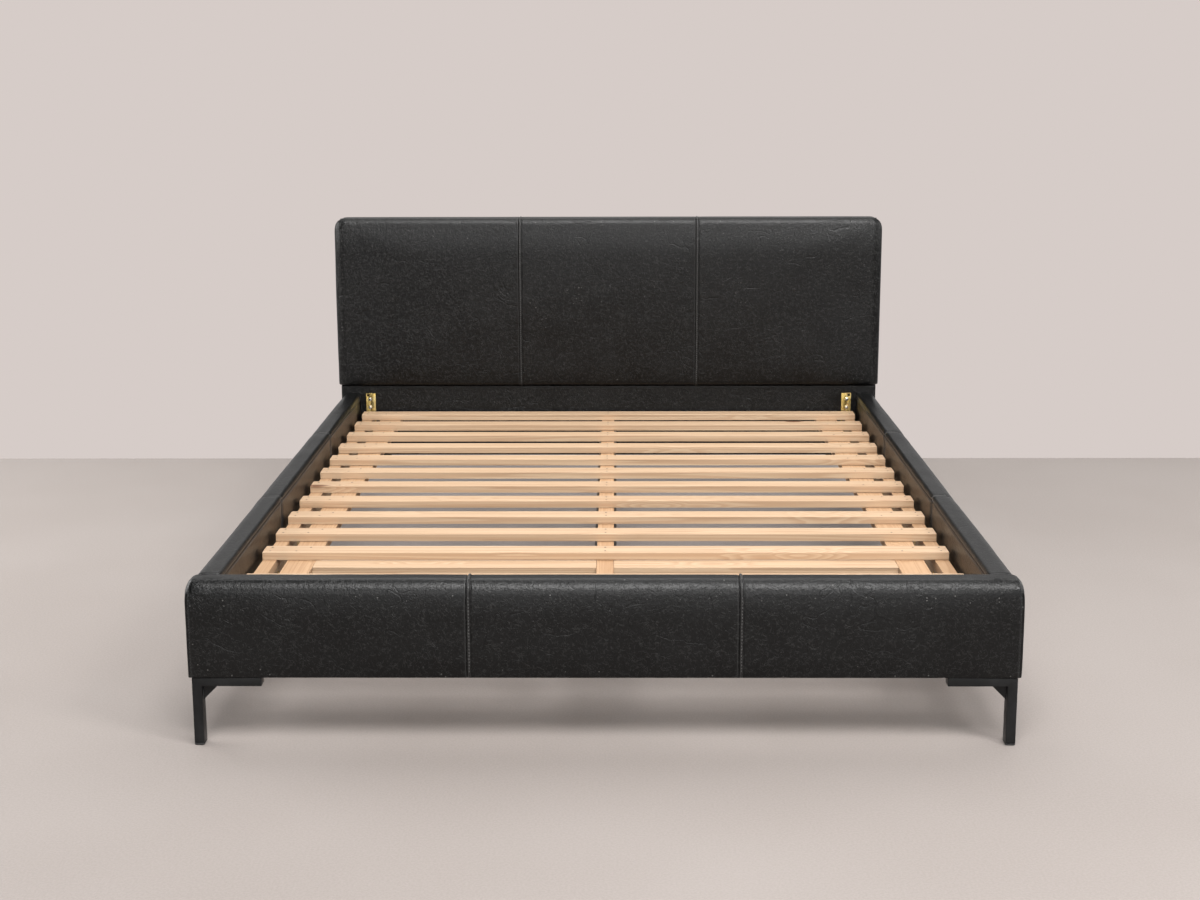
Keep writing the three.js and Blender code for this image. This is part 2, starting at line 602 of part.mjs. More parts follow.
addHeadboardUpholstery();
addHeadboardFrame();
addHeadboardBackCover();
addFootRail();
for (const [name, side] of SIDES) {
  addSideRail(name, side);
  addSideLedge(name, side);
  addCornerLeg("front", FOOT_FRONT + LEG_INSET, name, side);
  addCornerLeg("rear", HEAD_BACK - LEG_INSET - LEG_DEPTH, name, side);
  addCornerBrackets(name, side);
}
addCentreBeam();
addBeamHanger("head", LOWER_PANEL_FACE, -1);
addBeamHanger("foot", FOOT_INNER, 1);
CENTRE_LEG_FROM_FOOT.forEach((fromFoot, i) => {
  addCentreLeg(i + 1, FOOT_FRONT + fromFoot);
  addLevellingFoot(i + 1, FOOT_FRONT + fromFoot);
});
addSlatBase();

export default bed;
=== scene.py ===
import json
import math

import bmesh
import bpy
import numpy as np
from mathutils import Matrix, Vector
from mathutils.bvhtree import BVHTree

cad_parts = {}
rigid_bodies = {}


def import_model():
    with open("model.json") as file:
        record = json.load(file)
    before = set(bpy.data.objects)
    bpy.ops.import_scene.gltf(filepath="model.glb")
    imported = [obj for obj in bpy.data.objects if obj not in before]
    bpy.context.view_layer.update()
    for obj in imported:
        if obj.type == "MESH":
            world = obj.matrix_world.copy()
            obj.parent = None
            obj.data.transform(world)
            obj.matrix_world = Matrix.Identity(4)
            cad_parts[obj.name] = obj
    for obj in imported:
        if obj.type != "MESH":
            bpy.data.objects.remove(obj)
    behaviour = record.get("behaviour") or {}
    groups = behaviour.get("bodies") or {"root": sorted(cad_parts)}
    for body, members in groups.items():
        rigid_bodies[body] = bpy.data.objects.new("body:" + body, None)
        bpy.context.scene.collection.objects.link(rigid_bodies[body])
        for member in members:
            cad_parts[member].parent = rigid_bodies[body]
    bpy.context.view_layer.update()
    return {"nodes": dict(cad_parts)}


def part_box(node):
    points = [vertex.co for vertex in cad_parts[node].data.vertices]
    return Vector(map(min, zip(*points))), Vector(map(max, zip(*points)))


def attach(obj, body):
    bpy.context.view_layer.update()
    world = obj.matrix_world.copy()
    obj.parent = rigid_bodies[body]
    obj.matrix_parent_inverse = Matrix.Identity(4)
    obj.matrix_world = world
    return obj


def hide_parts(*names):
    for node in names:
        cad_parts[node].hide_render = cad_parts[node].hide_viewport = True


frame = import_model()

MM = 0.001
scene = bpy.context.scene
SIDES = (("left", -1), ("right", 1))
SLATS = [f"slat_{i:02d}" for i in range(1, 13)]

# ---------------------------------------------------------------- places taken from the frame

cushion_low, cushion_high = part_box("headboard_cushion")
panel_low, panel_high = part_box("headboard_lower_panel")
foot_low, foot_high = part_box("foot_rail_cover")
rail_low, rail_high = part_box("side_rail_cover_right")
foot_board_low, foot_board_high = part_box("foot_rail_board")
face_board_low, face_board_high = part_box("headboard_face_board")
back_cover_low, back_cover_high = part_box("headboard_back_cover")

HALF_WIDTH = cushion_high.x
FOOT_FRONT = foot_low.y
GAP = 0.3 * MM      # between the leather and the boards inside it
CLEAR = 20 * MM     # well outside a piece, for where a cut or a row of stitches starts

SEAM_X = 0.271               # the headboard's and the foot rail's upright seams, each side of the middle
RAIL_SEAMS = [FOOT_FRONT + 0.76, FOOT_FRONT + 1.53]
RAIL_PIPING_DROP = 12 * MM   # the long seam inside each rail, below the rail's top

# ---------------------------------------------------------------- small tools


def noise(points, scale, seed):
    """Smooth noise from -1 to 1 at each point. scale is cells a metre, one number or three."""
    table = np.random.default_rng(seed).uniform(-1, 1, (24, 24, 24))
    p = np.asarray(points, float) * np.asarray(scale, float) + seed * 0.37
    cell = np.floor(p).astype(int)
    t = p - cell
    t = t * t * (3 - 2 * t)
    total = np.zeros(len(p))
    for dx in (0, 1):
        for dy in (0, 1):
            for dz in (0, 1):
                corner = np.abs(1 - np.array([dx, dy, dz]) - t).prod(axis=1)
                i, j, k = ((cell + [dx, dy, dz]) % 24).T
                total += corner * table[i, j, k]
    return total


def bell(distance, width):
    return np.exp(-((distance / width) ** 2))


def rising(distance, reach):
    """0 where the distance is nothing or less, rising evenly to 1 at this reach."""
    return np.clip(distance / reach, 0, 1)


def new_object(name, mesh):
    obj = bpy.data.objects.new(name, mesh)
    scene.collection.objects.link(obj)
    return obj


def mesh_from(name, points, faces):
    mesh = bpy.data.meshes.new(name)
    mesh.from_pydata(np.asarray(points).tolist(), [], faces)
    mesh.update()
    return mesh


def changed(mesh, change):
    """Edits a mesh in place as a bmesh."""
    shape = bmesh.new()
    shape.from_mesh(mesh)
    change(shape)
    shape.to_mesh(mesh)
    shape.free()


def face_outwards(shape):
    bmesh.ops.recalc_face_normals(shape, faces=shape.faces)


def points_of(mesh):
    co = np.empty(len(mesh.vertices) * 3, np.float32)
    mesh.vertices.foreach_get("co", co)
    return co.reshape(-1, 3).astype(float)


def normals_of(mesh):
    n = np.empty(len(mesh.vertices) * 3, np.float32)
    mesh.vertex_normals.foreach_get("vector", n)
    return n.reshape(-1, 3).astype(float)


def set_points(mesh, points):
    mesh.vertices.foreach_set("co", np.asarray(points, np.float32).ravel())
    mesh.update()


def smooth(obj, degrees=35):
    obj.data.shade_smooth()
    obj.data.set_sharp_from_angle(angle=math.radians(degrees))


def apply_modifiers(obj):
    depsgraph = bpy.context.evaluated_depsgraph_get()
    mesh = bpy.data.meshes.new_from_object(obj.evaluated_get(depsgraph), depsgraph=depsgraph)
    obj.modifiers.clear()
    obj.data = mesh


def number_attribute(obj, name, values):
    """One number for each vertex, which a material can read."""
    attribute = obj.data.attributes.get(name) or obj.data.attributes.new(name, "FLOAT", "POINT")
    attribute.data.foreach_set("value", np.broadcast_to(values, len(obj.data.vertices)).astype(np.float32))


def finish_piece(obj, body, slot, material, *nodes):
    obj.data.materials.clear()
    obj.data.materials.append(material)
    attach(obj, body)
    if nodes:
        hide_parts(*nodes)
    return obj


# ---------------------------------------------------------------- swept blocks: planks and padded rails alike


def lines_between(a, b, step, seams=(), fine=0.8 * MM, reach=9 * MM):
    """Coordinates from a to b, step apart, and closer together near each seam."""
    places = list(np.linspace(a, b, max(2, int(round((b - a) / step)) + 1)))
    for seam in seams:
        places = [p for p in places if abs(p - seam) > reach or p in (a, b)]
        places += [p for p in np.arange(seam - reach, seam + reach + fine / 2, fine) if a < p < b]
    return sorted(places)


def ring(p0, p1, q0, q1, radii, inner, arc_steps):
    """One closed section, clockwise from its low corner: up side p0, over the top, down side p1, back below.
    inner gives the places along each side as shares of it, and arc_steps the steps round each corner."""
    corners = [(p0, q0), (p0, q1), (p1, q1), (p1, q0)]
    towards = [(1, 1), (1, -1), (-1, -1), (-1, 1)]
    limit = min(p1 - p0, q1 - q0) / 2 * 0.98
    arcs = []
    for i in range(4):
        r = min(radii[i], limit)
        centre = np.array(corners[i]) + np.array(towards[i]) * r
        turn = np.radians(270 - 90 * i - 90 * np.linspace(0, 1, arc_steps[i] + 1))
        arcs.append(centre + r * np.stack([np.cos(turn), np.sin(turn)], axis=1))
    points = []
    for i in range(4):
        start, end = arcs[i][-1], arcs[(i + 1) % 4][0]
        shares = np.asarray(inner[i]).reshape(-1, 1)
        points += [arcs[i], start + (end - start) * shares]
    return np.concatenate([p for p in points if len(p)])


def end_inset(distance, radius):
    """How far a side steps in, this far from an end that is rounded with this radius."""
    if radius <= 0 or distance >= radius:
        return 0.0
    return radius - math.sqrt(max(radius**2 - (radius - distance) ** 2, 0.0))


def block(name, low, high, along, radii, end_radii, step, side_steps, seams=(), side_seams=None,
          arc_steps=(3, 6, 4, 3), cap_rings=5):
    """A closed block swept along X (along=0) or Y (along=1).
    radii: its long edges, from the low corner clockwise. end_radii: how its low side, top, high side and
    bottom are rounded towards the ends. side_steps: mesh spacing on those four sides."""
    cross = 1 - along
    p0, p1, q0, q1 = low[cross], high[cross], low[2], high[2]
    side_seams = side_seams or ((), (), (), ())
    inner = []
    spans = [(q0, q1), (p0, p1), (q0, q1), (p0, p1)]
    for i in range(4):
        before, after = radii[i], radii[(i + 1) % 4]
        a, b = spans[i][0], spans[i][1]
        flat_a, flat_b = (a + before, b - after) if i < 2 else (a + after, b - before)
        places = lines_between(flat_a, flat_b, side_steps[i], side_seams[i])
        shares = (np.array(places) - flat_a) / (flat_b - flat_a)
        shares = shares if i < 2 else 1 - shares[::-1]
        inner.append(shares[1:-1])
    u0, u1 = low[along], high[along]
    reach = max(max(end_radii), 0.1 * MM)
    bend = (1 - np.cos(np.linspace(0, math.pi / 2, 8))) * reach
    stations = [u0 + d for d in bend] + lines_between(u0 + reach, u1 - reach, step, seams)[1:-1]
    stations += [u1 - d for d in bend[::-1]]

    def ring_at(u, more=0.0):
        distance = min(u - u0, u1 - u)
        a, t, b, s = (end_inset(distance, r) + more for r in end_radii)
        shrunk = [max(r - more, 0.2 * MM) for r in radii]
        flat = ring(p0 + a, p1 - b, q0 + s, q1 - t, shrunk, inner, arc_steps)
        whole = np.empty((len(flat), 3))
        whole[:, along], whole[:, cross], whole[:, 2] = u, flat[:, 0], flat[:, 1]
        return whole

    half = min(p1 - p0 - end_radii[0] - end_radii[2], q1 - q0 - end_radii[1] - end_radii[3]) / 2
    insets = [half * 0.94 * (i + 1) / cap_rings for i in range(cap_rings)]
    rings = [ring_at(u0, d) for d in insets[::-1]] + [ring_at(u) for u in stations]
    rings += [ring_at(u1, d) for d in insets]
    count = len(rings[0])
    faces = []
    for i in range(len(rings) - 1):
        for j in range(count):
            k = (j + 1) % count
            a, b = i * count + j, i * count + k
            faces.append((a, b, b + count, a + count))
    faces.append(tuple(range(count))[::-1])
    faces.append(tuple(range((len(rings) - 1) * count, len(rings) * count)))
    mesh = mesh_from(name, np.concatenate(rings), faces)
    changed(mesh, face_outwards)
    return mesh


# ---------------------------------------------------------------- material tools


class Nodes:
    """A material's node tree, built with short calls."""

    def __init__(self, name):
        self.material = bpy.data.materials.new(name)
        self.material.use_nodes = True
        self.tree = self.material.node_tree
        self.tree.nodes.clear()
        self.out = self.tree.nodes.new("ShaderNodeOutputMaterial")
        self.place = self.tree.nodes.new("ShaderNodeTexCoord").outputs["Object"]

    def put(self, node, key, value):
        socket = node.inputs[key]
        if isinstance(value, bpy.types.NodeSocket):
            self.tree.links.new(value, socket)
        elif socket.type == "RGBA" and not hasattr(value, "__len__"):
            socket.default_value = (value, value, value, 1)
        elif socket.type == "RGBA":
            socket.default_value = (*value[:3], 1)
        else:
            socket.default_value = value

    def add(self, kind, inputs, out=0, **settings):
        node = self.tree.nodes.new("ShaderNode" + kind)
        for key, value in settings.items():
            setattr(node, key, value)
        for key, value in inputs.items():
            self.put(node, key, value)
        return node.outputs[out]

    def scaled(self, x, y, z, source=None):
        return self.add("Mapping", {"Vector": source or self.place, "Scale": (x, y, z)})

    def noise(self, scale, detail=3, rough=0.55, source=None, distortion=0.0):
        inputs = {"Vector": source or self.place, "Scale": scale, "Detail": detail,
                  "Roughness": rough, "Distortion": distortion}
        return self.add("TexNoise", inputs)

    def cells(self, scale, source=None, feature="F1", out=0, randomness=1.0):
        inputs = {"Vector": source or self.place, "Scale": scale, "Randomness": randomness}
        return self.add("TexVoronoi", inputs, out, feature=feature)

    def math(self, operation, a, b=0.0, clamp=False):
        return self.add("Math", {0: a, 1: b}, operation=operation, use_clamp=clamp)

    def ramp(self, value, low, high, to_low=0.0, to_high=1.0):
        inputs = {"Value": value, "From Min": low, "From Max": high, "To Min": to_low, "To Max": to_high}
        return self.add("MapRange", inputs, clamp=True, interpolation_type="SMOOTHSTEP")

    def mix(self, share, a, b):
        node = self.tree.nodes.new("ShaderNodeMix")
        node.data_type = "RGBA"
        self.put(node, 0, share)
        self.put(node, 6, a)
        self.put(node, 7, b)
        return node.outputs[2]

    def attribute(self, name):
        node = self.tree.nodes.new("ShaderNodeAttribute")
        node.attribute_name = name
        return node.outputs["Fac"]

    def bump(self, height, distance, strength=1.0, under=None):
        inputs = {"Height": height, "Distance": distance, "Strength": strength}
        if under is not None:
            inputs["Normal"] = under
        return self.add("Bump", inputs)

    def shader(self, **inputs):
        named = {key.replace("_", " "): value for key, value in inputs.items()}
        self.tree.links.new(self.add("BsdfPrincipled", named), self.out.inputs["Surface"])
        return self.material


def leather_material():
    """Black upholstery leather: pebbled grain and short wandering creases. The crease strokes and pale flecks
    are painted highlights, and the seams' lighter bands are partly wear, partly painted highlight.
    """
    n = Nodes("black_leather")
    patches = n.noise(7, 4, 0.6)

    def wandering_lines(scale, width, gap_scale):
        """Thin curved strokes, where a noise passes through its middle value, broken up by a second noise."""
        middle = n.math("ABSOLUTE", n.math("SUBTRACT", n.noise(scale, 2, 0.5, distortion=0.6), 0.5))
        line = n.ramp(middle, width * 0.3, width, 1.0, 0.0)
        return n.math("MULTIPLY", line, n.ramp(n.noise(gap_scale, 1, 0.5), 0.45, 0.55))

    creases = n.math("MAXIMUM", wandering_lines(70, 0.020, 75), wandering_lines(125, 0.031, 120))
    folds = wandering_lines(10, 0.010, 7)
    pebble = n.cells(330, feature="SMOOTH_F1")
    lumps = n.noise(135, 2, 0.55)
    chosen = n.ramp(n.cells(105, out=1), 0.80, 0.84)
    # Pale flecks: painted glints.
    painted_glints = n.math("MULTIPLY", n.ramp(n.cells(105), 0.1, 0.19, 1.0, 0.0), chosen)
    wear_and_highlight = n.attribute("wear_and_highlight")
    tone = n.mix(n.ramp(patches, 0.35, 0.68), (0.0016, 0.0017, 0.0018), (0.0028, 0.0029, 0.003))
    # Painted highlight: the crease strokes are painted lighter, as creases catching the light.
    tone = n.mix(n.math("MULTIPLY", creases, 0.78), tone, (0.0155, 0.0153, 0.0149))
    # Lighter along seam bands, piping and edges: partly wear, partly painted highlight.
    tone = n.mix(n.math("MULTIPLY", wear_and_highlight, 0.55), tone, (0.06, 0.059, 0.058))
    # Painted glints: the flecks are painted pale.
    tone = n.mix(n.math("MULTIPLY", painted_glints, 0.85), tone, (0.11, 0.108, 0.104))
    wear = n.math("ADD", n.math("MULTIPLY", patches, 0.6), n.math("MULTIPLY", lumps, 0.4))
    rough = n.ramp(wear, 0.35, 0.7, 0.29, 0.38)
    normal = n.bump(folds, -0.45 * MM, 0.8)
    normal = n.bump(creases, 0.3 * MM, 0.8, normal)
    normal = n.bump(lumps, 0.8 * MM, 0.9, normal)
    normal = n.bump(pebble, 0.3 * MM, 0.8, normal)
    return n.shader(Base_Color=tone, Roughness=rough, Normal=normal, Specular_IOR_Level=0.27)


def pine_material(name, grain_axis, pale, dark, knot, sawn=0.3, knots=0.5):
    """Softwood with its grain along one axis: long streaks, growth lines and knots."""
    n = Nodes(name)
    seed = n.attribute("grain_seed")
    shift_y, shift_z = n.math("MULTIPLY", seed, 1.7), n.math("MULTIPLY", seed, 0.6)
    shift = n.add("CombineXYZ", {"X": seed, "Y": shift_y, "Z": shift_z})
    place = n.add("VectorMath", {0: n.place, 1: shift}, operation="ADD")

    def stretched(along, across):
        scale = [across, across, across]
        scale[grain_axis] = along
        return n.scaled(*scale, source=place)

    spots = n.cells(1, stretched(2.6, 8))
    wobble = n.math("MULTIPLY", n.ramp(spots, 0.0, 0.34, 1.0, 0.0), 3.2)
    waves = n.noise(1, 2, 0.5, stretched(0.4, 26))
    rings = n.math("ADD", n.math("MULTIPLY", waves, 9.0), wobble)
    rings = n.math("FRACT", n.math("MULTIPLY", rings, 1.3))
    rings = n.math("MULTIPLY", n.ramp(rings, 0.0, 0.82), n.ramp(rings, 0.84, 1.0, 1.0, 0.0))
    fibre = n.noise(1, 4, 0.7, stretched(9, 260))
    broad = n.ramp(n.noise(1, 2, 0.5, stretched(0.12, 7.8)), 0.3, 0.7)
    tone = n.mix(broad, pale, [c * 0.86 + d * 0.14 for c, d in zip(pale, dark)])
    tone = n.mix(n.math("MULTIPLY", rings, 0.34), tone, dark)
    tone = n.mix(n.ramp(fibre, 0.55, 0.78, 0.0, 0.3), tone, dark)
    heart = n.ramp(spots, 0.045, 0.1, 1.0, 0.0)
    chosen = n.ramp(n.cells(1, stretched(2.6, 8), out=1), 1 - knots, 1.02 - knots)
    tone = n.mix(n.math("MULTIPLY", heart, chosen), tone, knot)
    rough = n.ramp(fibre, 0.2, 0.8, 0.5, 0.7)
    height = n.math("ADD", n.math("MULTIPLY", fibre, sawn), n.math("MULTIPLY", rings, 0.25))
    normal = n.bump(height, 0.5 * MM, 0.55)
    return n.shader(Base_Color=tone, Roughness=rough, Normal=normal, Specular_IOR_Level=0.35)


def plywood_material():
    n = Nodes("plywood")
    ply = n.math("FRACT", n.math("MULTIPLY", n.add("SeparateXYZ", {"Vector": n.place}, 1), 1 / (1.8 * MM)))
    ply = n.ramp(ply, 0.42, 0.58)
    fibre = n.noise(1, 4, 0.7, n.scaled(4, 30, 120))
    tone = n.mix(fibre, (0.5, 0.33, 0.17), (0.74, 0.55, 0.34))
    tone = n.mix(n.math("MULTIPLY", ply, 0.35), tone, (0.27, 0.16, 0.08))
    return n.shader(Base_Color=tone, Roughness=n.ramp(fibre, 0.2, 0.8, 0.55, 0.75),
                    Normal=n.bump(fibre, 0.3 * MM, 0.5))


def dust_cover_material():
    """Non-woven black fabric: pressed fibres with a small grid of bonding dots."""
    n = Nodes("black_fabric")
    fibres = n.noise(900, 4, 0.75, distortion=1.5)
    dots = n.ramp(n.cells(380, randomness=0.15), 0.12, 0.3)
    creases = n.noise(7, 4, 0.6)
    tone = n.mix(fibres, (0.010, 0.010, 0.011), (0.03, 0.03, 0.032))
    normal = n.bump(creases, 5 * MM, 0.35)
    normal = n.bump(n.math("MULTIPLY", fibres, dots), 0.3 * MM, 0.7, normal)
    return n.shader(Base_Color=tone, Roughness=n.ramp(fibres, 0.2, 0.8, 0.8, 0.97), Normal=normal,
                    Sheen_Weight=0.2, Sheen_Roughness=0.5)


def metal_material(name, colour, worn, metallic, smooth_rough, rough_rough, grain, depth, shine=0.5):
    """Coated or plated steel: a fine orange-peel surface, patchy gloss and faint scuffs."""
    n = Nodes(name)
    peel = n.noise(grain, 3, 0.6)
    patches = n.noise(14, 4, 0.6)
    scuffs = n.ramp(n.noise(1, 3, 0.7, n.scaled(500, 40, 500)), 0.62, 0.74)
    tone = n.mix(n.ramp(patches, 0.35, 0.68), colour, worn)
    tone = n.mix(n.math("MULTIPLY", scuffs, 0.35), tone, worn)
    rough = n.ramp(patches, 0.3, 0.7, smooth_rough, rough_rough)
    return n.shader(Base_Color=tone, Metallic=metallic, Roughness=rough, Normal=n.bump(peel, depth, 0.6),
                    Specular_IOR_Level=shine)


def zinc_material(name, colour, other, third):
    """Zinc plate: passivated in drifting tints, with rolled scratches."""
    n = Nodes(name)
    drift = n.noise(24, 3, 0.6, distortion=1.0)
    tone = n.mix(n.ramp(drift, 0.35, 0.65), colour, other)
    tone = n.mix(n.ramp(n.noise(60, 2), 0.58, 0.74, 0.0, 0.7), tone, third)
    scratch = n.noise(1, 3, 0.7, n.scaled(1400, 1400, 60))
    rough = n.ramp(scratch, 0.3, 0.8, 0.2, 0.42)
    return n.shader(Base_Color=tone, Metallic=1.0, Roughness=rough, Normal=n.bump(scratch, 0.06 * MM, 0.6))


def plastic_material():
    n = Nodes("black_plastic")
    texture = n.noise(1300, 3, 0.6)
    tone = n.mix(n.noise(20, 2), (0.012, 0.012, 0.012), (0.025, 0.025, 0.026))
    return n.shader(Base_Color=tone, Roughness=n.ramp(texture, 0.3, 0.7, 0.5, 0.68),
                    Normal=n.bump(texture, 0.12 * MM, 0.6))


def thread_material(name, dark, light):
    n = Nodes(name)
    twist = n.add("TexWave", {"Vector": n.place, "Scale": 900, "Distortion": 2.0}, 1)
    tone = n.mix(twist, dark, light)
    return n.shader(Base_Color=tone, Roughness=n.ramp(twist, 0.0, 1.0, 0.5, 0.62),
                    Normal=n.bump(twist, 0.15 * MM, 0.7))


def floor_material():
    n = Nodes("studio_floor")
    speck = n.ramp(n.noise(210, 3, 0.65), 0.35, 0.65)
    tone = n.mix(n.ramp(n.noise(1.1, 2), 0.3, 0.7), (0.247, 0.219, 0.204), (0.265, 0.237, 0.2225))
    tone = n.mix(n.math("MULTIPLY", speck, 0.22), tone, (0.355, 0.3235, 0.303))
    return n.shader(Base_Color=tone, Roughness=0.75, Normal=n.bump(speck, 0.4 * MM, 0.4),
                    Specular_IOR_Level=0.25)


PINE = dict(pale=(0.488, 0.352, 0.232), dark=(0.263, 0.128, 0.0535), knot=(0.15, 0.065, 0.03))
# The battens' pine is a darker, more orange copy of the slats' pine: painted shade for where they lie under
# the slats.
BATTEN_PAINTED_SHADE = dict(pale=(0.45, 0.288, 0.168), dark=(0.24, 0.116, 0.045), knot=(0.15, 0.065, 0.03))
SAWN = dict(pale=(0.374, 0.26, 0.157), dark=(0.221, 0.128, 0.062), knot=(0.13, 0.065, 0.03))
leather = leather_material()
slat_pine = pine_material("slat_pine_across", 0, **PINE)
batten_pine_painted_shade = pine_material("slat_pine_lengthwise_painted_shade", 1, **BATTEN_PAINTED_SHADE)
board_pine_y = pine_material("frame_pine_lengthwise", 1, sawn=0.6, **SAWN)
board_pine_x = pine_material("frame_pine_across", 0, sawn=0.6, **SAWN)
board_pine_z = pine_material("frame_pine_upright", 2, sawn=0.6, **SAWN)
plywood = plywood_material()
dust_cover = dust_cover_material()
black_steel = metal_material("black_steel", (0.0065, 0.0068, 0.007), (0.013, 0.0132, 0.0135), metallic=0.0,
                             smooth_rough=0.3, rough_rough=0.42, grain=1100, depth=0.1 * MM, shine=0.22)
yellow_zinc = zinc_material("yellow_zinc", (0.62, 0.44, 0.13), (0.72, 0.58, 0.26), (0.6, 0.32, 0.16))
bright_zinc = zinc_material("bright_zinc", (0.66, 0.68, 0.7), (0.78, 0.79, 0.8), (0.62, 0.63, 0.7))
black_plastic = plastic_material()
thread = thread_material("rubbed_thread", (0.03, 0.0295, 0.029), (0.09, 0.088, 0.086))
dark_thread = thread_material("black_thread", (0.003, 0.003, 0.003), (0.009, 0.009, 0.009))

# ---------------------------------------------------------------- camera, floor and lights


CAMERA_PLACE = (0.02397, -4.61991, 1.34215)
CAMERA_TURN = (0.20575, -0.00883, -0.00239)   # pitch down, yaw to the right and roll
CAMERA_LENS = 55.398                          # mm, with a sensor 36 mm wide
FLOOR_REACH = 14.0                            # from the middle, to each side and to the front
FLOOR_END = 1.67                              # where the floor meets the wall behind the bed


def add_camera():
    """A standing eye's view from beyond the foot of the bed."""
    pitch, yaw, roll = CAMERA_TURN
    forward = Vector((math.sin(yaw) * math.cos(pitch), math.cos(yaw) * math.cos(pitch), -math.sin(pitch)))
    level = Vector((math.cos(yaw), -math.sin(yaw), 0))
    upright = level.cross(forward)
    right = math.cos(roll) * level + math.sin(roll) * upright
    up = -math.sin(roll) * level + math.cos(roll) * upright
    data = bpy.data.cameras.new("camera")
    data.sensor_width = 36
    data.lens = CAMERA_LENS
    data.clip_end = 100
    camera = bpy.data.objects.new("camera", data)
    scene.collection.objects.link(camera)
    turn = Matrix((right, up, -forward)).transposed().to_4x4()
    camera.matrix_world = Matrix.Translation(CAMERA_PLACE) @ turn
    scene.camera = camera


WARM, PALE = (1, 0.99, 0.98), (1, 0.99, 0.985)
# each light's name, place, what it points at, width, height, radiance and colour
SOFTBOXES = (
    ("softbox_front", (0.2, -4.9, 6.2), (0.0, -0.2, 0.2), 4.2, 3.1, 13.5, WARM),
    ("softbox_overhead", (0.2, -2.3, 6.2), (0.1, -0.8, 0.2), 4.2, 2.2, 2.3, WARM),
    ("softbox_right", (3.6, 0.5, 1.7), (0.0, 0.6, 0.3), 3.6, 1.8, 2.6, WARM),
    ("softbox_left", (-3.6, 0.5, 1.7), (0.0, 0.6, 0.3), 3.6, 1.8, 5.5, WARM),
    ("softbox_high_right", (2.8, -3.4, 3.6), (0.1, -0.2, 0.2), 1.3, 1.3, 27.0, WARM),
    ("softbox_above", (0.1, 1.1, 3.1), (0.05, 1.0, 0), 3.8, 3.6, 2.2, WARM),
    ("softbox_low", (0.6, -7.2, 1.4), (0.2, 0.0, 0.5), 7.0, 2.6, 1.7, PALE),
    ("softbox_room", (0.0, -8.5, 3.6), (0.0, -8.2, 0), 6.0, 3.0, 5.2, PALE),
)


def add_softboxes():
    for name, place, aim, width, height, radiance, colour in SOFTBOXES:
        data = bpy.data.lights.new(name, "AREA")
        data.shape = "RECTANGLE"
        data.size = width
        data.size_y = height
        data.energy = radiance * math.pi * width * height
        data.color = colour
        light = bpy.data.objects.new(name, data)
        light.location = place
        light.rotation_euler = (Vector(aim) - Vector(place)).to_track_quat("-Z", "Y").to_euler()
        scene.collection.objects.link(light)


def add_floor():
    corners = [(-FLOOR_REACH, -FLOOR_REACH, 0), (FLOOR_REACH, -FLOOR_REACH, 0),
               (FLOOR_REACH, FLOOR_END, 0), (-FLOOR_REACH, FLOOR_END, 0)]
    floor = new_object("floor", mesh_from("floor", corners, [(0, 1, 2, 3)]))
    floor.data.materials.append(floor_material())


def add_world():
    """The camera sees a pale wall everywhere. Light comes from that wall, dimmer than it looks, only behind
    the headboard, where the wall stands. On every other side the room round the bed is almost dark."""
    world = bpy.data.worlds.new("studio")
    world.use_nodes = True
    tree = world.node_tree
    tree.nodes.clear()

    def background(colour):
        node = tree.nodes.new("ShaderNodeBackground")
        node.inputs["Color"].default_value = (*colour, 1)
        return node.outputs["Background"]

    def mix(share, a, b):
        node = tree.nodes.new("ShaderNodeMixShader")
        for socket, value in zip(node.inputs, (share, a, b)):
            tree.links.new(value, socket)
        return node.outputs["Shader"]

    direction = tree.nodes.new("ShaderNodeSeparateXYZ")
    tree.links.new(tree.nodes.new("ShaderNodeTexCoord").outputs["Generated"], direction.inputs["Vector"])
    behind = tree.nodes.new("ShaderNodeMapRange")
    behind.inputs["From Min"].default_value = 0.25
    behind.inputs["From Max"].default_value = 0.65
    tree.links.new(direction.outputs["Y"], behind.inputs["Value"])
    wall = background((0.672, 0.604, 0.577))
    lit_wall = background((0.46, 0.45, 0.445))
    room = background((0.02, 0.02, 0.02))
    light = mix(behind.outputs["Result"], room, lit_wall)
    is_camera = tree.nodes.new("ShaderNodeLightPath").outputs["Is Camera Ray"]
    output = tree.nodes.new("ShaderNodeOutputWorld")
    tree.links.new(mix(is_camera, light, wall), output.inputs["Surface"])
    scene.world = world


add_camera()
add_floor()
add_world()
add_softboxes()
scene.view_settings.view_transform = "Standard"

# ---------------------------------------------------------------- upholstery tools


def held_by(mesh, shares):
    """A pin group from a share for each vertex, for the cloth solver."""
    obj = new_object("cloth_skin", mesh)
    group = obj.vertex_groups.new(name="held")
    levels = np.clip(np.round(shares * 10), 0, 10).astype(int)
    for level in range(1, 11):
        chosen = np.flatnonzero(levels == level)
        if len(chosen):
            group.add(chosen.tolist(), level / 10, "REPLACE")
    return obj


CLOTH_FRAMES = 20


def swollen(mesh, shares, most, pressure):
    """How far out each vertex of a coarse leather skin moves when its foam presses on it, scaled to most.
    The board behind the foam stops it from moving in."""
    rest = points_of(mesh)
    obj = held_by(mesh, shares)
    cloth = obj.modifiers.new("Cloth", "CLOTH")
    settings = cloth.settings
    settings.quality = 4
    settings.mass = 0.4
    settings.tension_stiffness = 25
    settings.compression_stiffness = 25
    settings.bending_stiffness = 1.5
    settings.use_pressure = True
    settings.uniform_pressure_force = pressure
    settings.vertex_group_mass = "held"
    settings.effector_weights.gravity = 0
    cloth.point_cache.frame_start = 1
    cloth.point_cache.frame_end = CLOTH_FRAMES
    for step in range(1, CLOTH_FRAMES + 1):
        scene.frame_set(step)
    depsgraph = bpy.context.evaluated_depsgraph_get()
    moved = points_of(obj.evaluated_get(depsgraph).data) - rest
    normals = normals_of(mesh)
    out = np.maximum((moved * normals).sum(axis=1, keepdims=True), 0)
    out *= most / np.percentile(out, 96)
    bpy.data.objects.remove(obj)
    scene.frame_set(1)
    return normals * np.minimum(out, 1.2 * most)


